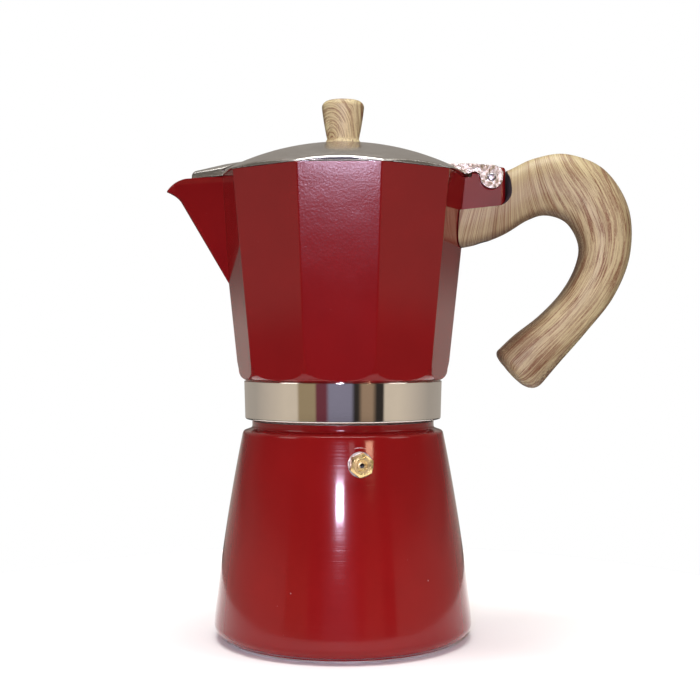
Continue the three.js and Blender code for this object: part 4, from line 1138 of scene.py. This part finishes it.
def set_grain(obj, rule):
    """Writes the "grain" attribute: rule gives (across, along, painted shade near edges) from a point in
    millimetres.
    """
    layer = obj.data.attributes.new("grain", "FLOAT_VECTOR", "POINT")
    for vertex in obj.data.vertices:
        layer.data[vertex.index].vector = rule(vertex.co / MM)


def make_knob():
    k = KNOB
    z0 = LID.dome_z + STACK_GAP
    z1 = z0 + k.height
    shoulder = z1 - k.crown - k.round
    side = [(k.foot - 0.5, z0), (k.foot - 0.12, z0 + 0.14), (k.foot, z0 + 0.45),
        (k.foot - 0.15, z0 + 0.85), (k.neck + 0.45, z0 + k.neck_height - 0.9),
        (k.neck + 0.12, z0 + k.neck_height - 0.4)]
    low = (k.neck, z0 + k.neck_height)
    high = (k.top - 0.02, shoulder + 0.3)
    side += bezier(low, ((low[0] + high[0]) / 2 + 0.35, (low[1] + high[1]) / 2), high, 26)
    cap = arc((k.top - k.round, shoulder + 0.3), k.round, 4, 80, 10)
    crown = [(k.top - k.round - 0.6, z1 - 0.18), (3.0, z1 - 0.04), (0, z1)]
    socket = [(0, z0 + 9.5), (2.75, z0 + 9.5), (2.75, z0)]
    body = turned("knob_print", [*socket, *side, *cap, *crown], WOOD_KNOB, 112)
    body.data.materials.append(CORE)
    for face in body.data.polygons:
        radius = Vector((face.center.x, face.center.y)).length / MM
        if radius < 2.9 and face.center.z / MM < z0 + 9.6:
            face.material_index = 1

    def rule(p):
        x, y, z = p.x + 4.1, p.y, p.z - z0
        arch = math.hypot(x, (z - 1.6) * 0.52)
        across = arch + (1.15 * x - arch) * smoothstep(6.5, 9.5, x) + 0.2 * abs(y)
        along = math.degrees(math.atan2(z - 1.6, x)) * 0.14 + y * 0.4
        # Painted shade: darker towards the top and on the knob's left and right sides, fading out towards its
        # foot.
        edge = 0.8 * smoothstep(2.2, 0.1, z1 - p.z) + 0.65 * smoothstep(0.86, 1.0,
            abs(p.x) / (6.2 + 0.13 * z))
        edge *= smoothstep(2.4, 4.5, z)
        if z < KNOB.neck_height - 0.5:
            across = 3.0 + 0.2 * x
        return (across + 40.0, along + 11.0, edge)

    shade(body, 50)
    set_grain(body, rule)
    piece(body, "lid_body", "wood_print", "knob")


# ---- handle


def catmull(points, t):
    """A point of the Catmull-Rom curve through points, for t from 0 to 1."""
    place_on = t * (len(points) - 1)
    i = min(int(place_on), len(points) - 2)
    w = place_on - i
    p0, p1, p2, p3 = (points[max(0, min(len(points) - 1, i + k))] for k in (-1, 0, 1, 2))
    made = []
    for a, b, c, d in zip(p0, p1, p2, p3):
        v0, v1 = (c - a) / 2, (d - b) / 2
        made.append((2 * b - 2 * c + v0 + v1) * w ** 3 + (-3 * b + 3 * c - 2 * v0 - v1) * w ** 2 + v0 * w + b)
    return tuple(made)


def drawn(a, b, c, t):
    """A point on the curve from a to c that is drawn towards b."""
    return tuple(p * (1 - t) ** 2 + 2 * q * t * (1 - t) + w * t * t for p, q, w in zip(a, b, c))


def handle_rings():
    """Rings across the handle as (inner, outer, half width) in the XZ plane."""
    inner = [s[0] for s in HANDLE_STATIONS]
    outer = [s[1] for s in HANDLE_STATIONS]
    half = [(s[2],) for s in HANDLE_STATIONS]
    rings = []
    steps = 132
    for i in range(steps + 1):
        t = i / steps
        rings.append((catmull(inner, t), catmull(outer, t), catmull(half, t)[0]))
    a, b, h = HANDLE_STATIONS[-1]
    c, d, e = HANDLE_END
    for k in range(1, 9):
        t = k / 8
        first = drawn(a, HANDLE_CORNERS[0], c, t)
        second = drawn(b, HANDLE_CORNERS[1], d, t)
        rings.append((first, second, e + (h - e) * math.sqrt(1 - t * t)))
    middle = ((c[0] + d[0]) / 2, (c[1] + d[1]) / 2)
    crown = HANDLE_CROWN / math.dist(c, d)
    out = ((d[1] - c[1]) * crown, (c[0] - d[0]) * crown)
    for k in range(1, 8):
        shrink = 1 - 0.93 * k / 7
        push = math.sin(k / 7 * math.pi / 2)
        ends = [(middle[0] + (p[0] - middle[0]) * shrink + out[0] * push,
            middle[1] + (p[1] - middle[1]) * shrink + out[1] * push) for p in (c, d)]
        rings.append((ends[0], ends[1], e * shrink))
    return rings


def section(inner, outer, half, count=56):
    power = 2 / HANDLE.square
    centre = ((inner[0] + outer[0]) / 2, (inner[1] + outer[1]) / 2)
    across = ((outer[0] - inner[0]) / 2, (outer[1] - inner[1]) / 2)

    def bend(value):
        return math.copysign(abs(value) ** power, value)

    ring = []
    for i in range(count):
        angle = 2 * math.pi * i / count
        along, side = bend(math.cos(angle)), bend(math.sin(angle))
        ring.append((centre[0] + across[0] * along, half * side, centre[1] + across[1] * along))
    return ring


def notch(material):
    """The notch that takes the boss and the hinge, opening out towards the handle's sides."""
    x, z = HANDLE.notch
    inner = HINGE.boss + 0.3
    outer = HANDLE.half + 3
    flare = HANDLE.flare * (outer - inner) / (HANDLE.half - inner)

    def ring(y, grow):
        wall, floor = x + grow, z + grow * 0.4
        corner = arc((wall - HANDLE.notch_round, floor + HANDLE.notch_round), HANDLE.notch_round, -90, 0, 12)
        outline = [(30, 215), (30, floor - HANDLE.slope * 30), *corner, (wall + 0.6, 215)]
        return [(px, y, pz) for px, pz in outline]

    return loft("notch", [ring(-outer, flare), ring(-inner, 0), ring(inner, 0), ring(outer, flare)], material)


def make_handle():
    rings = handle_rings()
    body = loft("handle_print", [section(*ring) for ring in rings], WOOD_HANDLE)
    h = HINGE
    slot = block("slot", (30, h.boss_end + 0.3), (-h.boss - 0.3, h.boss + 0.3),
        (h.boss_bottom - 0.3, 215), CORE)
    half = math.pi / JUG.sides
    top = JUG.rim_z + 10
    grow = HANDLE.gap / math.cos(half)
    room = loft("room", [decagon_ring(corner_radius(z) + grow, z, 1.2, 2, 4) for z in (140, top)], CORE)
    bore = rod("bore", HANDLE_SCREW_BORE, 140, HANDLE_SCREW_SEAT, CORE)
    shank = rod("shank", 2.3, HANDLE_SCREW_SEAT - 1, h.boss_bottom + 1, CORE)
    for tool in (bore, shank):
        place(tool, None, (HANDLE_SCREW_X, 0, 0))
    cut(body, notch(CORE), slot, room, bore, shank)

    centres = [((a[0] + b[0]) / 2, (a[1] + b[1]) / 2) for a, b, _ in rings]
    lengths = [0.0]
    for p, q in zip(centres, centres[1:]):
        lengths.append(lengths[-1] + math.dist(p, q))

    drifts = [0.0]
    for u, v in zip(lengths, lengths[1:]):
        drifts.append(drifts[-1] + (v - u) * 1.55 * (1 - smoothstep(16, 72, (u + v) / 2)))

    def rule(p):
        best = min(range(len(rings)), key=lambda i: across_miss(rings[i], p))
        a, b, _ = rings[best]
        width = math.dist(a, b)
        f = ((p.x - a[0]) * (b[0] - a[0]) + (p.z - a[1]) * (b[1] - a[1])) / (width * width)
        u = lengths[best]
        swing = -0.55 + 1.55 * smoothstep(4, 46, u)
        across = 21.0 * f * swing + drifts[best] + 0.3 * abs(p.y)
        # Painted shade: darker along the inner edge under the arm, along the outer edge further on, near the
        # jug and towards the hook's end.
        edge = smoothstep(0.15, 0.0, f) * 0.9 + smoothstep(0.80, 1.0, f) * 0.6 * smoothstep(30, 60, u)
        edge += 0.28 * smoothstep(56, 24, u)
        edge += smoothstep(lengths[-1] - 34, lengths[-1] - 4, u) * (0.30 + 0.45 * abs(2 * f - 1))
        return (across, u, min(1.0, edge))

    shade(body, 40)
    set_grain(body, rule)
    piece(body, "jug_body", "wood_print", "handle")


def across_miss(ring, p):
    """How far a point lies from a ring's plane, with a guard against the far side of the hook."""
    a, b, _ = ring
    width = math.dist(a, b)
    along = (b[0] - a[0]) / width, (b[1] - a[1]) / width
    off = abs(-(p.x - a[0]) * along[1] + (p.z - a[1]) * along[0])
    f = ((p.x - a[0]) * along[0] + (p.z - a[1]) * along[1]) / width
    return off + 60.0 * max(0.0, -f - 0.02, f - 1.02)


# ---- carried-over CAD nodes


def dress_cad():
    for name, material in (("valve_ball", STEEL), ("valve_spring", STEEL), ("knob_insert", BRASS),
            ("knob_screw", STEEL), ("knob_washer", STEEL), ("handle_screw", STEEL),
            ("handle_washer", STEEL)):
        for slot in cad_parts[name].material_slots:
            slot.material = material


# ---- floor, world, lights and camera


def make_floor():
    """A round pale stand under the pot."""
    material, tree, shader = new_material("pale_floor", (0.92, 0.92, 0.92), 0.8)
    where = object_coordinates(tree)
    tone = ramp(tree, noise(tree, where, 9.0, 3.0), [(0.3, (0.915, 0.915, 0.915)),
        (0.7, (0.925, 0.925, 0.925))])
    tree.links.new(tone, shader.inputs["Base Color"])
    shader.inputs["Specular IOR Level"].default_value = 0.1
    angles = [2 * math.pi * i / FLOOR_SIDES for i in range(FLOOR_SIDES)]
    edge = [(FLOOR_RADIUS * math.cos(a), FLOOR_RADIUS * math.sin(a), FLOOR_Z) for a in angles]
    floor = mesh_object("floor", edge, [tuple(range(FLOOR_SIDES))], material)


def make_world():
    """Coloured strips round the pot, brighter or darker by height. The background itself shows white."""
    world = bpy.data.worlds.new("studio")
    bpy.context.scene.world = world
    world.use_nodes = True
    tree = world.node_tree
    tree.nodes.clear()
    direction = node(tree, "ShaderNodeTexCoord").outputs["Generated"]
    parts = node(tree, "ShaderNodeSeparateXYZ")
    tree.links.new(direction, parts.inputs[0])
    back = math_node(tree, "MULTIPLY", parts.outputs["Y"], -1.0)
    bearing = math_node(tree, "ARCTAN2", parts.outputs["X"], back)
    share = math_node(tree, "ADD", math_node(tree, "DIVIDE", bearing, 2 * math.pi), 0.5)
    level = math_node(tree, "ADD", math_node(tree, "MULTIPLY", parts.outputs["Z"], 0.5), 0.5)
    beige, grey, dusk = (0.70, 0.61, 0.51), (0.58, 0.51, 0.44), (0.42, 0.38, 0.34)
    buff, maroon, slate = (0.36, 0.28, 0.175), (0.168, 0.044, 0.062), (0.25, 0.24, 0.335)
    black, brown = (0.035, 0.03, 0.028), (0.35, 0.245, 0.17)
    around = ramp(tree, share, [(0.0, dusk), (0.17, dusk), (0.25, grey), (0.31, beige), (0.354, beige),
        (0.362, buff), (0.415, buff), (0.421, maroon), (0.450, maroon), (0.462, slate), (0.530, slate),
        (0.541, black), (0.553, black), (0.566, brown), (0.597, brown), (0.612, black), (0.633, black),
        (0.640, beige), (0.69, beige), (0.75, grey), (0.83, dusk), (1.0, dusk)])
    ahead = ramp(tree, level, [(0.36, 0.3), (0.385, 0.08), (0.428, 0.10), (0.444, 1.0), (0.51, 1.0),
        (0.53, 0.8), (0.56, 0.28), (0.60, 0.12), (0.68, 0.10), (0.78, 0.25), (0.90, 0.8), (1.0, 1.5)])
    behind = ramp(tree, level, [(0.38, 0.15), (0.43, 0.25), (0.446, 1.0), (0.49, 1.0), (0.51, 0.35),
        (0.56, 0.35), (0.59, 0.75), (0.90, 0.85), (1.0, 1.5)])
    side = ramp(tree, share, [(0.16, 1.0), (0.23, 0.0), (0.77, 0.0), (0.84, 1.0)])
    height = mix_colour(tree, side, ahead, behind)
    light = mix_colour(tree, 1.0, around, height, "MULTIPLY")
    lit = node(tree, "ShaderNodeBackground")
    lit.inputs["Strength"].default_value = 1.0
    tree.links.new(light, lit.inputs["Color"])
    seen = node(tree, "ShaderNodeBackground")
    seen.inputs["Color"].default_value = (1.0, 1.0, 1.0, 1.0)
    seen.inputs["Strength"].default_value = 1.0
    path = node(tree, "ShaderNodeLightPath")
    mix = node(tree, "ShaderNodeMixShader")
    tree.links.new(path.outputs["Is Camera Ray"], mix.inputs[0])
    tree.links.new(lit.outputs[0], mix.inputs[1])
    tree.links.new(seen.outputs[0], mix.inputs[2])
    out = node(tree, "ShaderNodeOutputWorld")
    tree.links.new(mix.outputs[0], out.inputs["Surface"])


def area_light(name, location, target, size, power, colour=(1.0, 1.0, 1.0)):
    data = bpy.data.lights.new(name, "AREA")
    data.shape = "RECTANGLE"
    data.size, data.size_y = size
    data.energy = power
    data.color = colour
    lamp = bpy.data.objects.new(name, data)
    lamp.location = location
    lamp.rotation_euler = (Vector(target) - Vector(location)).to_track_quat("-Z", "Y").to_euler()
    bpy.context.scene.collection.objects.link(lamp)


def make_lights():
    """Three small lamps that glint in the enamel and the metal, and three large soft panels."""
    area_light("flash", (-0.016, -0.62, 0.182), (0, 0, 0.12), (0.078, 0.050), 2.2, (0.86, 0.74, 1.0))
    area_light("lamp", (0.34, -0.58, 0.272), (0, 0, 0.08), (0.085, 0.04), 0.34, (1.0, 0.60, 0.40))
    area_light("second flash", (0.119, -0.62, 0.257), (0, 0, 0.12), (0.06, 0.05), 0.035, (1.0, 0.85, 0.88))
    area_light("top", (0.0, 0.0, 1.45), (0, 0, 0.1), (0.95, 0.95), 22.0, (1.0, 0.99, 0.97))
    area_light("left", (-1.1, -0.45, 0.85), (0, 0, 0.11), (0.5, 0.5), 3.0, (1.0, 0.98, 0.95))
    area_light("right", (1.1, -0.35, 0.85), (0, 0, 0.11), (0.5, 0.5), 3.0, (1.0, 0.98, 0.95))


def make_camera():
    data = bpy.data.cameras.new("camera")
    data.lens = 62.48
    data.sensor_width = 36.0
    data.clip_start = 0.01
    camera = bpy.data.objects.new("camera", data)
    camera.location = (0.0138, -0.485, 0.1133)
    camera.rotation_euler = (math.radians(90), 0, math.radians(1.3))
    bpy.context.scene.collection.objects.link(camera)
    bpy.context.scene.camera = camera


bpy.context.scene.view_settings.view_transform = "Standard"
make_camera()
make_world()
make_lights()
make_floor()
make_boiler()
make_valve()
make_funnel()
make_filters()
make_jug()
make_lid()
make_pin()
make_knob()
make_handle()
dress_cad()
